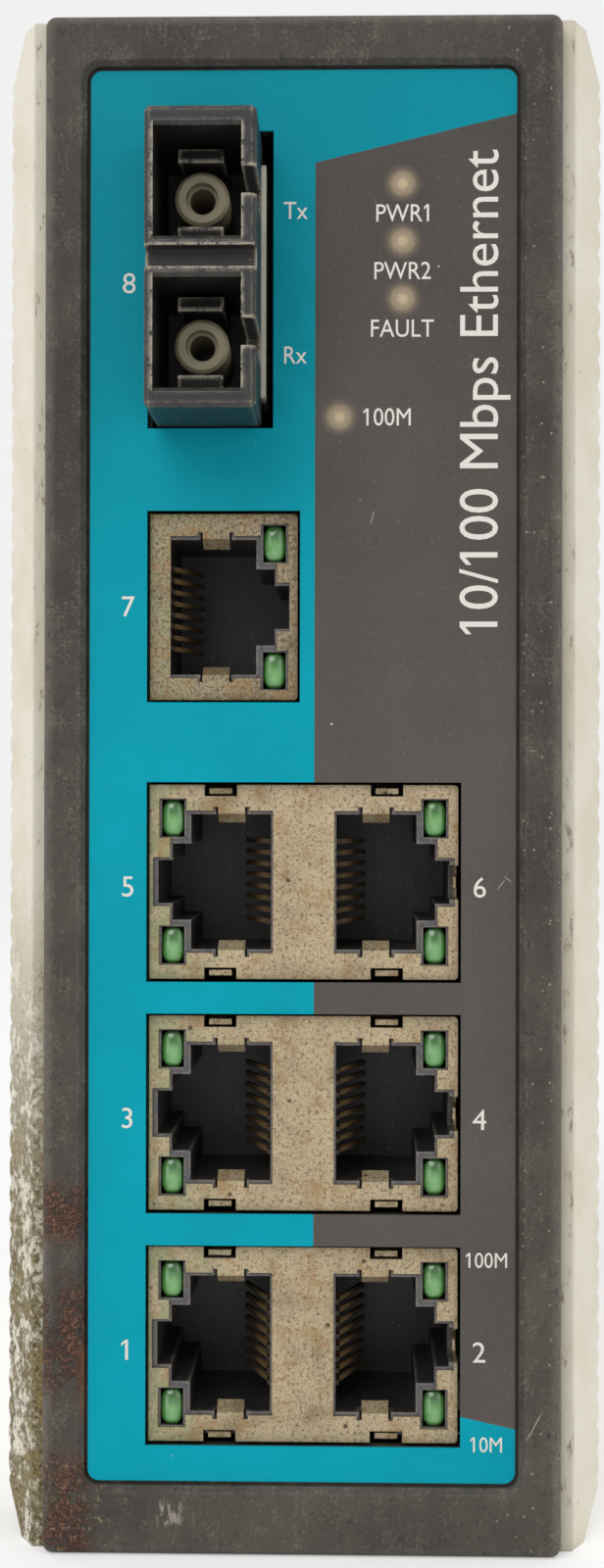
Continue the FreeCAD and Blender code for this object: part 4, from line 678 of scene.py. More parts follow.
def frame_plastic(colours):
    """Grained moulding, paler along its edges by a painted highlight, darker towards its top and in
    its corners by painted shade, dusty, and rusty low on the left.
    """
    finish = Finish("frame_plastic", specular_ior_level=0.35)
    low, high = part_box("front_frame")
    place = finish.place(origin=low)
    x, y, z = finish.split(place)
    pebble = finish.noise(place, 0.3, 3, 0.65)
    cloud = finish.noise(place, 13, 5, 0.62)
    film = finish.noise(finish.place(stretch=(1, 1, 0.5)), 1.5, 5, 0.7)
    finish.tone = finish.mix(finish.ease(cloud, 0.32, 0.68), paint(62, 57, 51), colours.frame)
    # Darker towards the top: painted shade.
    finish.coat(finish.ease(z, 20, 110) * 0.3, paint(52, 47, 42))
    width, height = (high - low).x / MM, (high - low).z / MM
    rim = x.least(width - x).least(z).least(height - z)
    # Paler outer rim and convex edges: a painted highlight, broken up by the film noise.
    pale = finish.ease(rim, 1.2, 0.2) * finish.ease(y, 4, 2)
    finish.coat(pale * (0.1 + film * 0.5), paint(138, 131, 121))
    finish.coat(finish.edges(0.5) * finish.ease(film, 0.35, 0.6) * 0.55, paint(150, 143, 132))
    dust = finish.ease(pebble * 0.55 + film * 0.45, 0.5, 0.66)
    finish.coat(dust * 0.3, DUST)
    dark = finish.ease(finish.noise(place, 0.7, 4, 0.7), 0.55, 0.66)
    finish.coat(dark * 0.5, paint(42, 37, 33))
    right = finish.ease(x, width * 0.8, width * 0.95)
    lint = finish.specks(place, 0.75, 0.3, 0.2) * (0.2 + right * 0.4)
    finish.coat(lint, paint(172, 164, 146))
    patch = finish.noise(place, 3.2, 5, 0.7)
    crumb = finish.noise(place, 0.32, 5, 0.75)
    band = finish.ease(abs(z - 19), 7, 2.5).most(finish.ease(abs(z - 30), 4, 1))
    band = band.most(finish.ease(z, 11, 6))
    stain = finish.ease(x, 5, 3.4) * band * finish.ease(patch * 0.65 + crumb * 0.35, 0.44, 0.52)
    rust = finish.mix(finish.ease(crumb, 0.46, 0.6), paint(66, 44, 36), paint(132, 92, 72))
    finish.coat(stain * 0.9, rust)
    corner = finish.ease(x, 9, 3) * finish.ease(z, 11, 5)
    grains = finish.ease(finish.noise(place, 0.9, 6, 0.8), 0.57, 0.63)
    finish.coat(corner * grains * 0.8, paint(196, 166, 124))
    orange = finish.ease(abs(x - 3.6), 0.5, 0.1) * finish.ease(abs(z - 15), 5, 1) * film
    finish.coat(orange * 0.8, paint(158, 104, 66))
    rub = finish.ease(abs(x - 11.3).most(abs(z - 3.8)), 1.4, 0.6)
    swirl = finish.noise(finish.place(stretch=(1, 1, 0.4), turn=(0, 0.7, 0)), 0.5, 3, 0.6)
    finish.coat(rub * finish.ease(swirl, 0.48, 0.6) * 0.75, paint(168, 158, 144))
    finish.coat(scratch(finish, place, (43, 11.6), 62, 1.6, 0.09) * 0.7, paint(170, 160, 146))
    # Darker in corners and hollows: painted shade.
    finish.coat(finish.grime(1.1) * 0.6, paint(30, 27, 24))
    relief = finish.bump(pebble + stain * crumb * 2, 0.08, 1.0, edge=0.25)
    return finish.done(roughness=0.55 + pebble * 0.18 + stain * 0.15, normal=relief)


def label_film(colours):
    """Printed film in two fields, with scuffs, white flecks, warm windows over the lamps with a
    painted highlight at their middles, and painted shade towards its top.
    """
    finish = Finish("label_film", specular_ior_level=0.1)
    place = label_place(finish)
    slate = slate_share(finish, place)
    _, _, z = finish.split(place)
    cloud = finish.noise(place, 11, 4, 0.55)
    deep = shade(colours.field, 0.88)
    field = finish.mix(finish.ease(cloud + z * 0.002, 0.75, 0.35), deep, colours.field)
    worn_slate = shade(colours.slate, 0.84)
    dark = finish.mix(finish.ease(cloud, 0.3, 0.75), worn_slate, colours.slate)
    finish.tone = finish.mix(slate, field, dark)
    # Darker towards the top: painted shade.
    finish.coat(finish.ease(z, 62, 122) * 0.2, paint(6, 24, 28))
    grain = finish.ease(finish.noise(place, 0.22, 3, 0.7), 0.52, 0.7)
    finish.coat(slate * grain * 0.14, paint(150, 142, 132))
    flecks = finish.specks(place, 2.3, 0.2, 0.06)
    finish.coat(flecks * (slate * 0.6 + 0.2), paint(222, 218, 208))
    dusting = finish.ease(finish.noise(place, 0.5, 4, 0.7), 0.55, 0.75)
    finish.coat(dusting * (0.02 + slate * 0.08), paint(190, 184, 170))
    for middle, angle, reach in LABEL_MARKS:
        mark = scratch(finish, place, middle, angle, reach, 0.07)
        finish.coat(mark * 0.7, paint(176, 170, 160))
    away = lamp_distance(finish, place) + (grain - 0.5) * 0.3
    finish.coat(finish.ease(away, 1.75, 0.9) * 0.5, paint(140, 124, 104))
    finish.coat(finish.ease(away, 1.2, 0.6) * 0.6, paint(182, 164, 138))
    # The pale middle of each lamp window: a painted highlight.
    finish.coat(finish.ease(away, 0.55, 0.1) * 0.6, paint(214, 190, 156))
    scuff = finish.noise(finish.place(stretch=(0.5, 1, 2.2), turn=(0, 0.5, 0)), 1.2, 3)
    relief = finish.bump(finish.noise(place, 0.22, 2), 0.006, 0.5)
    rough = 0.42 + finish.ease(scuff, 0.5, 0.8) * 0.2 + cloud * 0.08
    return finish.done(roughness=rough, normal=relief)


def ink_film(colours):
    """Silk-screened ink, worn thin in places."""
    finish = Finish("ink", specular_ior_level=0.4)
    place = finish.place()
    wear = finish.ease(finish.noise(place, 0.35, 3, 0.6), 0.58, 0.78)
    finish.tone = finish.mix(wear * 0.4, colours.ink, paint(150, 150, 146))
    return finish.done(roughness=0.45 + wear * 0.2)


def reeded_paint(colours):
    """Pale paint, greyed on its narrow front land by painted shade and dirt, darkened in the reeds
    and corners by painted shade, and mossy low on the left.
    """
    finish = Finish("panel_paint", specular_ior_level=0.4)
    low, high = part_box("left_side_panel")
    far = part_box("right_side_panel")[1]
    place = finish.place(origin=low)
    x, y, z = finish.split(place)
    across = (far.x - low.x) / MM
    fine = finish.noise(place, 0.3, 3, 0.6)
    broad = finish.noise(place, 9, 5, 0.6)
    finish.tone = finish.mix(finish.ease(broad, 0.35, 0.7), colours.panel, paint(236, 228, 206))
    inward = x.least(across - x)
    land = finish.ease(inward, 2.6, 3.0) * finish.ease(y, 2, 1)
    streak = finish.noise(finish.place(stretch=(1, 1, 0.3)), 0.9, 5, 0.75)
    # Greyed front land: painted shade, as the land catches less light than the bevel beside it,
    # together with dirt.
    finish.coat(land * (0.2 + streak * 0.4), paint(170, 163, 146))
    finish.coat(land * finish.ease(streak, 0.56, 0.66) * 0.75, paint(104, 88, 62))
    # Darker in the reeds and corners: painted shade, in a dusty tone.
    finish.coat(finish.grime(1.5) * 0.4, paint(150, 140, 116))
    left = x < (high.x - low.x) / MM + 1
    crust = finish.noise(place, 0.9, 6, 0.78)
    patch = finish.noise(place, 6, 4, 0.6)
    foot = finish.ease(z, 66, 22) * finish.ease(y, 26, 4)
    haze = left * foot * finish.ease(patch, 0.3, 0.6)
    finish.coat(haze * 0.4, paint(206, 192, 148))
    moss = left * foot * finish.ease(crust * 0.62 + patch * 0.38, 0.45, 0.52)
    olive = finish.mix(finish.ease(fine, 0.4, 0.6), paint(98, 78, 34), paint(156, 136, 76))
    finish.coat(moss * 0.85, olive)
    pits = left * foot * finish.ease(finish.noise(place, 0.45, 5, 0.8), 0.54, 0.61)
    finish.coat(pits * 0.8, paint(62, 50, 28))
    flecks = finish.specks(place, 1.6, 0.12, 0.16)
    finish.coat(flecks * 0.35, paint(128, 116, 90))
    relief = finish.bump(fine + moss * (1 + crust * 2) - pits, 0.05, 0.9, edge=0.2)
    return finish.done(roughness=0.48 + fine * 0.12 + moss * 0.3, normal=relief)


def plated_shield(name, base, tarnish, amount):
    """Dull plating, pitted brown, greenish at its left, with pale grit specks as painted highlights
    and painted shade in its folds.
    """
    finish = Finish(name, metallic=0.45, specular_ior_level=0.5)
    place = finish.place(origin=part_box("jack_12_shield")[0])
    x, _, _ = finish.split(place)
    broad = finish.noise(place, 4.5, 5, 0.65)
    pits = finish.noise(place, 0.34, 5, 0.78)
    grit = finish.noise(place, 0.16, 3, 0.75)
    spots = finish.ease(pits, 0.55 - 0.07 * amount, 0.61 - 0.05 * amount)
    finish.tone = finish.mix(finish.ease(broad, 0.3, 0.7), base, shade(base, 0.76))
    # Pale specks on the grit: painted highlights.
    finish.coat(finish.ease(grit, 0.46, 0.36) * 0.4, paint(226, 214, 188))
    finish.coat(finish.ease(broad, 0.54, 0.7) * (0.3 + 0.4 * amount), tarnish)
    finish.coat(spots * (0.65 + 0.2 * amount), paint(96, 76, 48))
    finish.coat(finish.ease(grit, 0.56, 0.63) * 0.75, paint(88, 70, 46))
    green = finish.ease(x, 8, 1) * finish.ease(finish.noise(place, 1.8, 5, 0.7), 0.4, 0.54)
    finish.coat(green * (0.85 - 0.75 * amount), paint(136, 150, 108))
    ochre = finish.noise(place, 2.6, 5, 0.72)
    finish.coat(finish.ease(ochre, 0.5, 0.64) * 0.55, paint(152, 114, 66))
    finish.coat(finish.specks(place, 1.7, 0.3, 0.17) * 0.9, paint(60, 46, 28))
    # Darker in the folds and corners: painted shade, in a dirty brown.
    finish.coat(finish.grime(1.5) * (0.65 + 0.3 * amount), paint(78, 64, 40))
    relief = finish.bump(pits * 0.7 + grit * 0.3, 0.04, 0.8, edge=0.08)
    return finish.done(roughness=0.44 + spots * 0.2 + broad * 0.08, normal=relief)


def contact_wire():
    """Gold-plated wire: dull at its front end, brightest just behind it, then lost in shade."""
    finish = Finish("contact_gold", metallic=0.5)
    place = finish.place(origin=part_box("jack_12_contacts")[0])
    _, y, _ = finish.split(place)
    wear = finish.noise(place, 0.3, 3, 0.6)
    finish.tone = finish.mix(finish.ease(y, 1.0, 1.6), paint(60, 50, 38), paint(150, 122, 84))
    finish.coat(finish.ease(y, 2.4, 5.4) * 0.85, paint(56, 45, 34))
    finish.coat(finish.ease(wear, 0.5, 0.7) * 0.4, paint(84, 66, 44))
    return finish.done(roughness=0.36 + wear * 0.2)


def worn_black(name, base, front, sheen, reach, wear):
    """Black moulding: a paler front face as a painted sheen over painted shade further in, edges
    chipped pale by the share wear, dusty corners.
    """
    finish = Finish(name, specular_ior_level=0.5)
    place = finish.place(origin=(0, front, 0))
    _, y, _ = finish.split(place)
    grain = finish.noise(place, 0.22, 3, 0.6)
    film = finish.noise(place, 1.1, 5, 0.7)
    # A painted sheen: the front face paler, and painted shade further in.
    finish.tone = finish.mix(finish.ease(y, reach, reach * 0.3), base, sheen)
    finish.coat(finish.ease(film, 0.35, 0.7) * 0.4, shade(base, 0.6))
    worn = finish.edges(0.4) * finish.ease(film * 0.6 + grain * 0.4, 0.42, 0.52)
    finish.coat(worn * wear, paint(182, 174, 154))
    smear = finish.noise(finish.place(stretch=(1, 1, 0.35)), 0.8, 5, 0.7)
    finish.coat(finish.ease(smear, 0.56, 0.7) * 0.35, paint(120, 114, 102))
    finish.coat(finish.ease(film, 0.58, 0.74) * 0.2, DUST)
    finish.coat(finish.specks(place, 1.1, 0.2, 0.12) * 0.5, paint(170, 162, 146))
    finish.coat(finish.grime(1.6) * 0.3, paint(96, 86, 68))
    relief = finish.bump(grain, 0.012, 0.7, edge=0.14)
    return finish.done(roughness=0.32 + grain * 0.14 + film * 0.1, normal=relief)


def moulded(name, base, size=0.3, depth=0.012, rough=0.45, dust=0.15):
    """Plain moulded plastic: a fine grain, faint clouding and a little dust in patches and specks.
    """
    finish = Finish(name, specular_ior_level=0.45)
    place = finish.place()
    grain = finish.noise(place, size, 3, 0.6)
    broad = finish.noise(place, 6, 4, 0.6)
    finish.tone = finish.mix(finish.ease(broad, 0.3, 0.75), base, shade(base, 0.8))
    worn = finish.ease(finish.noise(place, 1.3, 5, 0.7), 0.52, 0.72)
    finish.coat(worn * dust, DUST)
    finish.coat(finish.specks(place, 1.3, 0.12, 0.12) * dust * 2, paint(168, 160, 142))
    relief = finish.bump(grain, depth, 0.6, edge=0.12)
    return finish.done(roughness=rough + grain * 0.12 + worn * 0.1, normal=relief)


def rolled_metal(name, base, rough=0.34, brush=(1, 1, 14)):
    """Sheet or turned metal with drawn lines, cloudy plating, stains, and painted shade in its
    corners.
    """
    finish = Finish(name, metallic=1.0)
    place = finish.place()
    lines = finish.noise(finish.place(stretch=[1 / b for b in brush]), 0.25, 3, 0.6)
    broad = finish.noise(place, 7, 5, 0.62)
    finish.tone = finish.mix(finish.ease(lines, 0.3, 0.7), base, shade(base, 0.82))
    marks = finish.ease(broad, 0.5, 0.75)
    finish.coat(marks * 0.3, STAIN_AND_SHADE)
    # Darker in corners and hollows: painted shade.
    finish.coat(finish.grime(1.2) * 0.3, STAIN_AND_SHADE)
    relief = finish.bump(lines, 0.008, 0.5, edge=0.12)
    return finish.done(roughness=rough + lines * 0.12 + marks * 0.18, normal=relief)


def lens_glass(colours):
    """Green moulded lens: darker towards its top and round its rim by painted shade, paler low in
    its middle by painted light where the stem shows through, with a painted glint.
    """
    finish = Finish("lens_green", roughness=0.12, coat_weight=1.0, coat_roughness=0.03)
    rise, across = finish.attribute("lens_rise"), finish.attribute("lens_side")
    deep = shade(colours.lens, 0.5)
    # Darker towards the top: painted shade.
    finish.tone = finish.mix(finish.ease(rise, 0.35, 0.95), colours.lens, deep)
    # Paler low in the middle: painted light where the stem shows through.
    stem = finish.ease(abs(across - 0.05), 0.75, 0.1) * finish.ease(abs(rise - 0.34), 0.36, 0.1)
    finish.coat(stem * 0.55, paint(134, 192, 118))
    glint = finish.ease(abs(across + 0.42), 0.2, 0.05) * finish.ease(abs(rise - 0.62), 0.3, 0.1)
    finish.coat(glint * 0.3, paint(170, 214, 158))
    # Darker round the rim: painted shade.
    rim = finish.ease(abs(across).most(abs(rise * 2 - 1)), 0.72, 0.96)
    finish.coat(rim * 0.7, paint(40, 72, 38))
    return finish.done()


def lamp_window():
    """Frosted lamp behind the film: warm and pale at its middle by a painted highlight, and darker
    at its rim by painted shade.
    """
    finish = Finish("lamp_window", specular_ior_level=0.3)
    place = label_place(finish)
    away = lamp_distance(finish, place)
    mottle = finish.noise(place, 0.4, 3)
    warm, rim = paint(216, 203, 172), paint(150, 134, 108)
    # Pale at the middle: a painted highlight. Darker at the rim: painted shade.
    finish.tone = finish.mix(finish.ease(away, 0.35, 1.6), warm, rim)
    finish.coat(finish.ease(mottle, 0.5, 0.7) * 0.3, paint(176, 150, 112))
    return finish.done(roughness=0.4 + mottle * 0.15)


def board_mask():
    """Green solder mask with fine tracks just under it."""
    finish = Finish("board_laminate", specular_ior_level=0.5, coat_weight=0.3, coat_roughness=0.15)
    place = finish.place()
    _, y, z = finish.split(place)
    lanes = finish.ease(abs((y % 1.9) - 0.95), 0.3, 0.36)
    blocks = finish.ease(finish.noise(place, 8, 1), 0.48, 0.5)
    rungs = finish.ease(abs((z % 2.3) - 1.15), 0.35, 0.42)
    track = lanes * blocks + rungs * (1 - blocks)
    finish.tone = finish.mix(track * 0.45, paint(18, 72, 40), paint(34, 104, 58))
    finish.coat(finish.ease(finish.noise(place, 3, 4, 0.7), 0.55, 0.8) * 0.25, DUST)
    relief = finish.bump(track, 0.02, 0.5)
    return finish.done(roughness=0.4 + track * 0.08, normal=relief)


# ---- pieces


class SWITCH_OT_front_frame(bpy.types.Operator):
    """Finish the moulded front frame"""

    bl_idname = "switch.front_frame"
    bl_label = "Front frame"

    def execute(self, context):
        dress(frame_plastic(context.scene.switch_colours), "front_frame")
        return {"FINISHED"}


class SWITCH_OT_front_label(bpy.types.Operator):
    """Print the two fields of the front label"""

    bl_idname = "switch.front_label"
    bl_label = "Front label"

    def execute(self, context):
        dress(label_film(context.scene.switch_colours), "front_label")
        return {"FINISHED"}


# How far the middles of the words stand from what they name, in metres.
NUMBER_DROP = 0.4 * MM  # numbers of a double port, under its middle
FIBRE_WORD = 2.6 * MM  # Rx and Tx, right of the pale strip
LAMP_SIDE_WORD = 4.3 * MM  # 100M, right of its lamp
LAMP_WORD = 2.6 * MM  # other names, under their lamps
SPEED_SHIFT = 0.1 * MM  # speed marks of port 2, right of the middle of their gap
SPEED_HIGH, SPEED_LOW = -1.0 * MM, 0.2 * MM  # the same, over the port's upper and lower ends
LEGEND_SIDE, LEGEND_DROP = 3.3 * MM, 9.3 * MM  # legend: from the label's right, under port 8


class SWITCH_OT_front_lettering(bpy.types.Operator):
    """Letter the ports, the lamps and the speed marks"""

    bl_idname = "switch.front_lettering"
    bl_label = "Front lettering"

    def execute(self, context):
        sizes = context.scene.switch_print
        digit, word, small, gap = [
            size * MM for size in (sizes.digit, sizes.word, sizes.small, sizes.gap)
        ]
        words = Lettering(sizes)
        face = LABEL_LOW.y - sizes.film * MM / 2

        def write(text, height, x, z, narrow=sizes.narrow, turn=0.0):
            words.write(text, height, Vector((x, face, z)), narrow=narrow, turn=turn)

        for left, jack in enumerate(JACKS[:3]):
            low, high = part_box(jack + "_shield")
            level = (low.z + high.z) / 2 - NUMBER_DROP
            write(str(2 * left + 1), digit, low.x - gap, level, 1)
            write(str(2 * left + 2), digit, high.x + gap, level, 1)
        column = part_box("jack_7_shield")[0].x - gap
        write("7", digit, column, middle_of("jack_7_shield").z, 1)
        write("8", digit, column, middle_of("fibre_housing").z, 1)
        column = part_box("fibre_side_strip")[1].x + FIBRE_WORD
        for (low, high), name in zip(solids("fibre_sleeves"), ("Rx", "Tx")):
            write(name, word, column, (low.z + high.z) / 2)
        beside, *above = [(low + high) / 2 for low, high in solids("status_lamps")]
        write("100M", word, beside.x + LAMP_SIDE_WORD, beside.z)
        for middle, name in zip(above, ("FAULT", "PWR2", "PWR1")):
            write(name, word, middle.x, middle.z - LAMP_WORD)
        low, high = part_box("jack_12_shield")
        column = (high.x + LABEL_HIGH.x) / 2 + SPEED_SHIFT
        write("100M", small, column, high.z + SPEED_HIGH)
        write("10M", small, column, low.z + SPEED_LOW)
        write(
            sizes.legend_words, sizes.legend * MM, LABEL_HIGH.x - LEGEND_SIDE,
            middle_of("fibre_housing").z - LEGEND_DROP, sizes.legend_narrow, math.radians(90),
        )
        made = words.piece("front_lettering", ink_film(context.scene.switch_colours))
        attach(made, "case")
        return {"FINISHED"}


class SWITCH_OT_side_panels(bpy.types.Operator):
    """Paint the reeded side panels"""

    bl_idname = "switch.side_panels"
    bl_label = "Side panels"

    def execute(self, context):
        dress(reeded_paint(context.scene.switch_colours), "left_side_panel", "right_side_panel")
        return {"FINISHED"}


class SWITCH_OT_screws(bpy.types.Operator):
    """Make the countersunk screws of the panels, the frame and the rail plate"""

    bl_idname = "switch.screws"
    bl_label = "Screws"

    def execute(self, context):
        sizes = context.scene.switch_screws
        middle = middle_of("chassis")
        zinc = rolled_metal("screw_zinc", paint(178, 174, 164), rough=0.3)
        black = rolled_metal("screw_black", paint(70, 68, 66), rough=0.4)

        def outwards(spot):
            return (math.copysign(1, spot.x - middle.x), 0, 0)

        def up_or_down(spot):
            return (0, 0, math.copysign(1, spot.z - middle.z))

        def backwards(_):
            return (0, 1, 0)

        panel_nodes = ("left_side_screws", "right_side_screws")
        crossed_screws("panel_screws", panel_nodes, outwards, sizes, zinc)
        crossed_screws("small_screws", ("frame_screws",), up_or_down, sizes, black)
        crossed_screws("rail_screws", ("din_screws",), backwards, sizes, zinc)
        dress(zinc, "board_screws", "terminal_screws", "board_spacers")
        return {"FINISHED"}


class SWITCH_OT_chassis(bpy.types.Operator):
    """Finish the sheet chassis and the rail mount on its back"""

    bl_idname = "switch.chassis"
    bl_label = "Chassis and rail mount"

    def execute(self, context):
        for node, name, base, rough, brush in (
            ("chassis", "sheet_zinc", paint(166, 166, 162), 0.4, (1, 9, 1)),
            ("din_plate", "rail_aluminium", paint(188, 188, 186), 0.36, (16, 1, 1)),
            ("din_spring", "spring_steel", paint(120, 122, 126), 0.3, (1, 1, 8)),
        ):
            dress(rolled_metal(name, base, rough, brush), node)
        return {"FINISHED"}


class SWITCH_OT_port_shields(bpy.types.Operator):
    """Finish the plated shields of the copper ports"""

    bl_idname = "switch.port_shields"
    bl_label = "Port shields"

    def execute(self, context):
        base = context.scene.switch_colours.shield
        brown = paint(112, 92, 60)
        *double, single = [jack + "_shield" for jack in JACKS]
        dress(plated_shield("shield_dull", base, brown, 0.35), *double)
        dress(plated_shield("shield_tarnished", shade(base, 0.66), brown, 0.8), single)
        return {"FINISHED"}


class SWITCH_OT_port_inserts(bpy.types.Operator):
    """Finish the black inserts and the sprung contacts of the copper ports"""

    bl_idname = "switch.port_inserts"
    bl_label = "Port inserts"

    def execute(self, context):
        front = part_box("jack_12_insert")[0].y
        black = worn_black("insert_black", paint(40, 38, 40), front, paint(76, 74, 79), 0.3, 0.3)
        dress(black, *[jack + "_insert" for jack in JACKS])
        dress(contact_wire(), *[jack + "_contacts" for jack in JACKS])
        return {"FINISHED"}


LENS_GRID = {"Vertices X": 9, "Vertices Y": 4, "Vertices Z": 13}


class SWITCH_OT_port_lenses(bpy.types.Operator):
    """Mould the domed green lenses beside the copper ports"""

    bl_idname = "switch.port_lenses"
    bl_label = "Port lenses"

    def execute(self, context):
        shape = context.scene.switch_lenses
        seats = [box for jack in JACKS for box in solids(jack + "_lamps")]
        low, high = seats[0]
        size = high - low
        lens = Pattern(
            "lens", width=size.x, height=size.z, length=size.y,
            crown=shape.crown * MM, corner=shape.corner,
        )
        width, height, depth = lens.size("width"), lens.size("height"), lens.size("length")
        sockets = {"Size": lens.combine(width, depth, height), **LENS_GRID}
        marked = lens.add("GeometryNodeMeshCube", sockets=sockets)
        x, y, z = lens.split(lens.add("GeometryNodeInputPosition"))
        across = x * 2 / width
        up = z * 2 / height
        front = y < depth * -0.49
        draw = lens.size("corner")
        new_x = x * (1 - draw * up ** 4)
        new_z = z * (1 - draw * across ** 4 * 0.7)
        swell = (1 - across * across) * (1 - up ** 4)
        new_y = y + lens.size("crown") * (1 - swell) * front
        for name, value in (("lens_rise", up * 0.5 + 0.5), ("lens_side", across)):
            marked = lens.add(
                "GeometryNodeStoreNamedAttribute",
                {"data_type": "FLOAT", "domain": "POINT"},
                {"Geometry": marked, "Name": name, "Value": value},
            )
        sockets = {"Geometry": marked, "Position": lens.combine(new_x, new_y, new_z)}
        moved = lens.add("GeometryNodeSetPosition", sockets=sockets)
        smooth = lens.add("GeometryNodeSetShadeSmooth", sockets={"Geometry": moved})
        sockets = {"Points": lens.entry, "Instance": smooth}
        glass = lens_glass(context.scene.switch_colours)
        lens.finish(lens.add("GeometryNodeInstanceOnPoints", sockets=sockets), glass)
        made = lens.grow("port_lenses", [(low + high) / 2 for low, high in seats], glass)
        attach(made, "case")
        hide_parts(*[jack + "_lamps" for jack in JACKS])
        return {"FINISHED"}


class SWITCH_OT_fibre_port(bpy.types.Operator):
    """Finish the duplex fibre receptacle and the transceiver behind it"""

    bl_idname = "switch.fibre_port"
    bl_label = "Fibre port"

    def execute(self, context):
        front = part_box("fibre_housing")[0].y
        black = worn_black("fibre_black", paint(26, 25, 27), front, paint(36, 35, 37), 0.7, 0.9)
        dress(black, "fibre_housing", "transceiver_body")
        ceramic = moulded("ceramic", paint(160, 150, 122), size=0.5, depth=0.004, rough=0.3)
        film = moulded("pale_film", paint(206, 203, 188), size=0.5, depth=0.004, dust=0.3)
        dress(ceramic, "fibre_sleeves")
        dress(film, "fibre_side_strip")
        dress(rolled_metal("tin", paint(186, 184, 178)), "transceiver_pins", "terminal_header_pins")
        return {"FINISHED"}


class SWITCH_OT_status_lamps(bpy.types.Operator):
    """Finish the frosted status lamps and the block that holds them"""

    bl_idname = "switch.status_lamps"
    bl_label = "Status lamps"

    def execute(self, context):
        dress(lamp_window(), "status_lamps")
        dress(moulded("lamp_holder", paint(38, 37, 38)), "lamp_holder")
        return {"FINISHED"}


class SWITCH_OT_boards(bpy.types.Operator):
    """Finish the circuit boards and what stands on them"""

    bl_idname = "switch.boards"
    bl_label = "Circuit boards"

    def execute(self, context):
        dress(board_mask(), "main_board", "power_board")
        black = moulded("component_black", paint(44, 44, 46), rough=0.5)
        dress(black, "switch_chip", "relay", "board_link")
        dress(rolled_metal("converter_can", paint(176, 176, 172), rough=0.3), "voltage_converter")
        dress(moulded("capacitor_sleeve", paint(36, 46, 78), rough=0.32), "capacitors")
        return {"FINISHED"}


class SWITCH_OT_terminal(bpy.types.Operator):
    """Finish the power terminal and its pull-off plug"""

    bl_idname = "switch.terminal"
    bl_label = "Power terminal"

    def execute(self, context):
        green = context.scene.switch_colours.terminal
        dress(moulded("terminal_green", green, rough=0.42), "terminal_header", "terminal_plug")
        dress(rolled_metal("clamp_tin", paint(190, 186, 172), rough=0.35), "terminal_clamps")
        return {"FINISHED"}


MARK_HEIGHT, MARK_INSET = 1.2 * MM, 1.5 * MM  # marks on the option switch, and from its sides


class SWITCH_OT_option_switches(bpy.types.Operator):
    """Finish the option switches and number their levers"""

    bl_idname = "switch.option_switches"
    bl_label = "Option switches"

    def execute(self, context):
        dress(moulded("options_red", context.scene.switch_colours.options, rough=0.4), "dip_body")
        levers = [f"dip_lever_{place}" for place in range(1, 9)]
        dress(moulded("lever_white", paint(226, 224, 214), rough=0.38, dust=0.1), *levers)
        sizes = context.scene.switch_print
        words = Lettering(sizes)
        low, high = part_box("dip_body")
        top = high.z + sizes.film * MM / 2
        from_above = Matrix.Rotation(math.radians(-90), 4, "Z")
        marks = [(str(place), low.x + MARK_INSET, lever) for place, lever in enumerate(levers, 1)]
        for text, x, lever in (*marks, ("ON", high.x - MARK_INSET, levers[0])):
            words.write(text, MARK_HEIGHT, Vector((x, middle_of(lever).y, top)), from_above)
        made = words.piece("option_lettering", ink_film(context.scene.switch_colours))
        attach(made, "case")
        return {"FINISHED"}


class SWITCH_OT_earth_point(bpy.types.Operator):
    """Finish the earth screw and its washer"""

    bl_idname = "switch.earth_point"
    bl_label = "Earth point"

    def execute(self, context):
        dress(rolled_metal("screw_brass", paint(196, 168, 104), rough=0.3), "earth_screw")
        dress(rolled_metal("washer_steel", paint(176, 174, 168)), "earth_washer")
        return {"FINISHED"}


# The sweep in metres: half its depth and width to the front, the bend, where it starts, its top.
SWEEP_REACH, SWEEP_BEND, SWEEP_BACK, SWEEP_TOP, SWEEP_STEPS = 3.2, 0.8, 1.6, 3.2, 16
# Each soft lamp: its place from the front face in metres, and its width.
KEY_LAMP = (Vector((-0.5, -1.1, 0.95)), 1.1)
FILL_LAMP = (Vector((1.2, -0.9, 0.3)), 1.2)
WHITE = (1, 1, 1, 1)


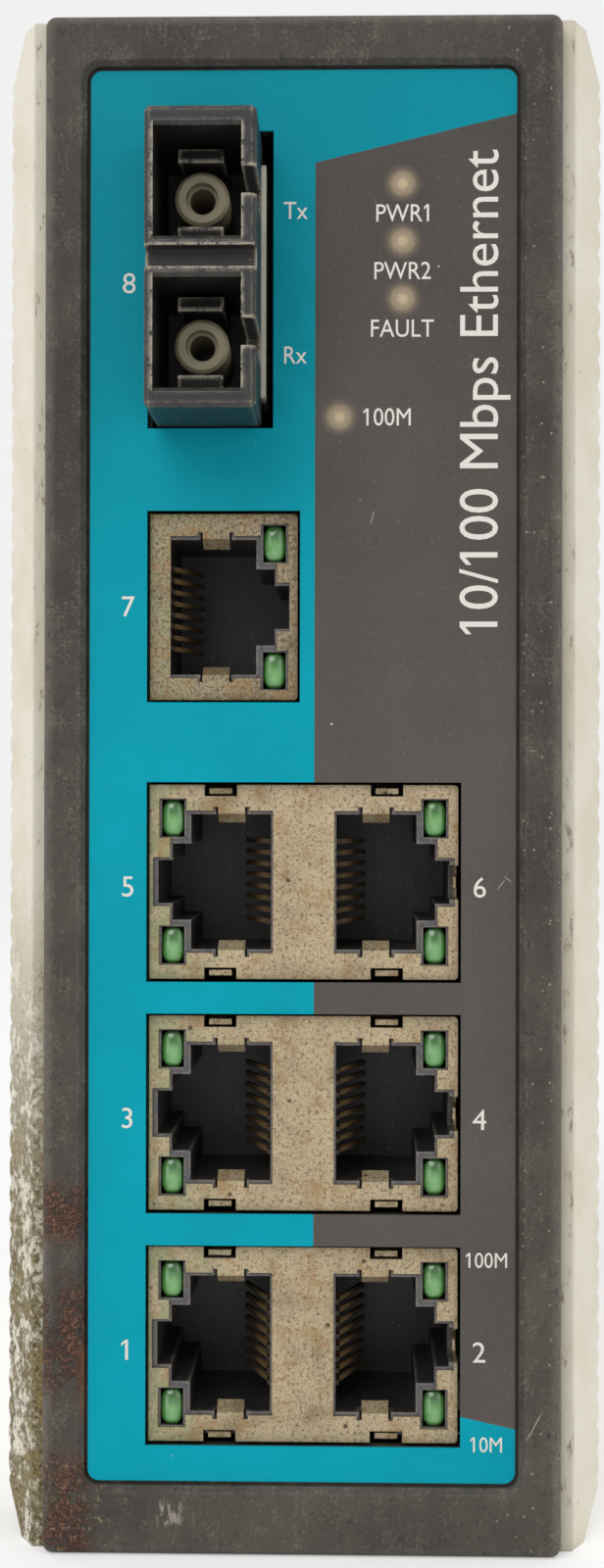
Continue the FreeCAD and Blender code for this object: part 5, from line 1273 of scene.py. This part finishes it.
class SWITCH_OT_stage(bpy.types.Operator):
    """Set the floor and backdrop, the soft lamps, the sky and the camera"""

    bl_idname = "switch.stage"
    bl_label = "Stage"

    def execute(self, context):
        setup = context.scene.switch_stage
        self.sweep()
        self.sky(context.scene, setup)
        front = Vector((LABEL_MIDDLE, CAD_BOX[0][1], 0))
        self.lamp("key_lamp", front, *KEY_LAMP, setup.key)
        self.lamp("fill_lamp", front, *FILL_LAMP, setup.fill)
        self.camera(context.scene, setup)
        return {"FINISHED"}

    @staticmethod
    def sweep():
        """A pale floor that turns up into a backdrop."""
        floor = CAD_BOX[0][2]
        line = [(-SWEEP_REACH, floor)]
        for step in range(SWEEP_STEPS + 1):
            angle = math.radians(90 * step / SWEEP_STEPS)
            out, up = math.sin(angle), 1 - math.cos(angle)
            line.append((SWEEP_BACK + SWEEP_BEND * out, floor + SWEEP_BEND * up))
        line.append((SWEEP_BACK + SWEEP_BEND, SWEEP_TOP))
        verts = [(side * SWEEP_REACH * 1.5, y, z) for side in (-1, 1) for y, z in line]
        count = len(line)
        faces = [(i, i + count, i + count + 1, i + 1) for i in range(count - 1)]
        mesh = bpy.data.meshes.new("sweep")
        mesh.from_pydata(verts, [], faces)
        mesh.shade_smooth()
        finish = Finish(
            "paper", base_color=(0.86, 0.86, 0.86, 1), roughness=0.8, emission_color=WHITE
        )
        path = finish.add("ShaderNodeLightPath").outputs
        camera, glossy, through = [
            Value(finish, path[f"Is {kind} Ray"]) for kind in ("Camera", "Glossy", "Transmission")
        ]
        seen = camera.most(glossy).most(through)
        glow = finish.add("ShaderNodeEmission", sockets={"Color": WHITE, "Strength": 0.3})
        both = finish.add("ShaderNodeAddShader", sockets={0: finish.shader, 1: glow})
        blend = finish.add("ShaderNodeMixShader", sockets={0: seen, 1: finish.shader, 2: both})
        finish.link(blend, finish.output.inputs["Surface"])
        piece("sweep", mesh, finish.material)

    @staticmethod
    def sky(scene, setup):
        world = bpy.data.worlds.new("studio")
        world.use_nodes = True
        graph = Graph(world.node_tree)
        graph.tree.nodes.clear()
        even, white = [
            graph.add("ShaderNodeBackground", sockets={"Color": WHITE, "Strength": strength})
            for strength in (setup.sky, 1.0)
        ]
        seen = graph.add("ShaderNodeLightPath").outputs["Is Camera Ray"]
        blend = graph.add("ShaderNodeMixShader", sockets={0: seen, 1: even, 2: white})
        graph.add("ShaderNodeOutputWorld", sockets={"Surface": blend})
        scene.world = world

    @staticmethod
    def lamp(name, target, offset, size, power):
        """A round soft lamp at that offset from its target, turned to it."""
        light = bpy.data.lights.new(name, "AREA")
        light.shape = "DISK"
        light.size = size
        light.energy = power
        lamp = bpy.data.objects.new(name, light)
        bpy.context.scene.collection.objects.link(lamp)
        lamp.location = place = target + offset
        lamp.rotation_euler = (target - place).to_track_quat("-Z", "Y").to_euler()

    @staticmethod
    def camera(scene, setup):
        data = bpy.data.cameras.new("camera")
        data.sensor_width = 36
        data.lens = setup.focal
        data.clip_start = 0.01
        data.clip_end = 20
        camera = bpy.data.objects.new("camera", data)
        scene.collection.objects.link(camera)
        low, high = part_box("front_frame")
        target = Vector((LABEL_MIDDLE, low.y, (CAD_BOX[0][2] + high.z) / 2))
        camera.location = target + Vector((setup.side, -setup.distance, setup.rise)) * MM
        aim = (target - camera.location).to_track_quat("-Z", "Y")
        camera.rotation_mode = "QUATERNION"
        camera.rotation_quaternion = aim @ Matrix.Rotation(setup.roll, 3, "Z").to_quaternion()
        scene.camera = camera
        scene.view_settings.view_transform = "Standard"


class SWITCH_PT_panel(bpy.types.Panel):
    """The switch's pieces and settings"""

    bl_idname = "SWITCH_PT_panel"
    bl_label = "Rail switch"
    bl_space_type = "VIEW_3D"
    bl_region_type = "UI"
    bl_category = "Rail switch"

    def draw(self, context):
        for group in GROUPS:
            box = self.layout.box()
            for name in GROUPS[group].__annotations__:
                box.prop(getattr(context.scene, group), name)
        for operator in OPERATORS:
            self.layout.operator(operator.bl_idname)


GROUPS = {
    "switch_colours": SwitchColours,
    "switch_print": SwitchPrint,
    "switch_lenses": SwitchLenses,
    "switch_screws": SwitchScrews,
    "switch_stage": SwitchStage,
}
OPERATORS = (
    SWITCH_OT_front_frame,
    SWITCH_OT_front_label,
    SWITCH_OT_front_lettering,
    SWITCH_OT_side_panels,
    SWITCH_OT_screws,
    SWITCH_OT_chassis,
    SWITCH_OT_port_shields,
    SWITCH_OT_port_inserts,
    SWITCH_OT_port_lenses,
    SWITCH_OT_fibre_port,
    SWITCH_OT_status_lamps,
    SWITCH_OT_boards,
    SWITCH_OT_terminal,
    SWITCH_OT_option_switches,
    SWITCH_OT_earth_point,
    SWITCH_OT_stage,
)


def register():
    for group, kind in GROUPS.items():
        bpy.utils.register_class(kind)
        setattr(bpy.types.Scene, group, PointerProperty(type=kind))
    for kind in (*OPERATORS, SWITCH_PT_panel):
        bpy.utils.register_class(kind)


def unregister():
    for kind in (SWITCH_PT_panel, *reversed(OPERATORS)):
        bpy.utils.unregister_class(kind)
    for group, kind in GROUPS.items():
        delattr(bpy.types.Scene, group)
        bpy.utils.unregister_class(kind)


def main():
    register()
    for operator in OPERATORS:
        area, name = operator.bl_idname.split(".")
        getattr(getattr(bpy.ops, area), name)()


if __name__ == "__main__":
    main()
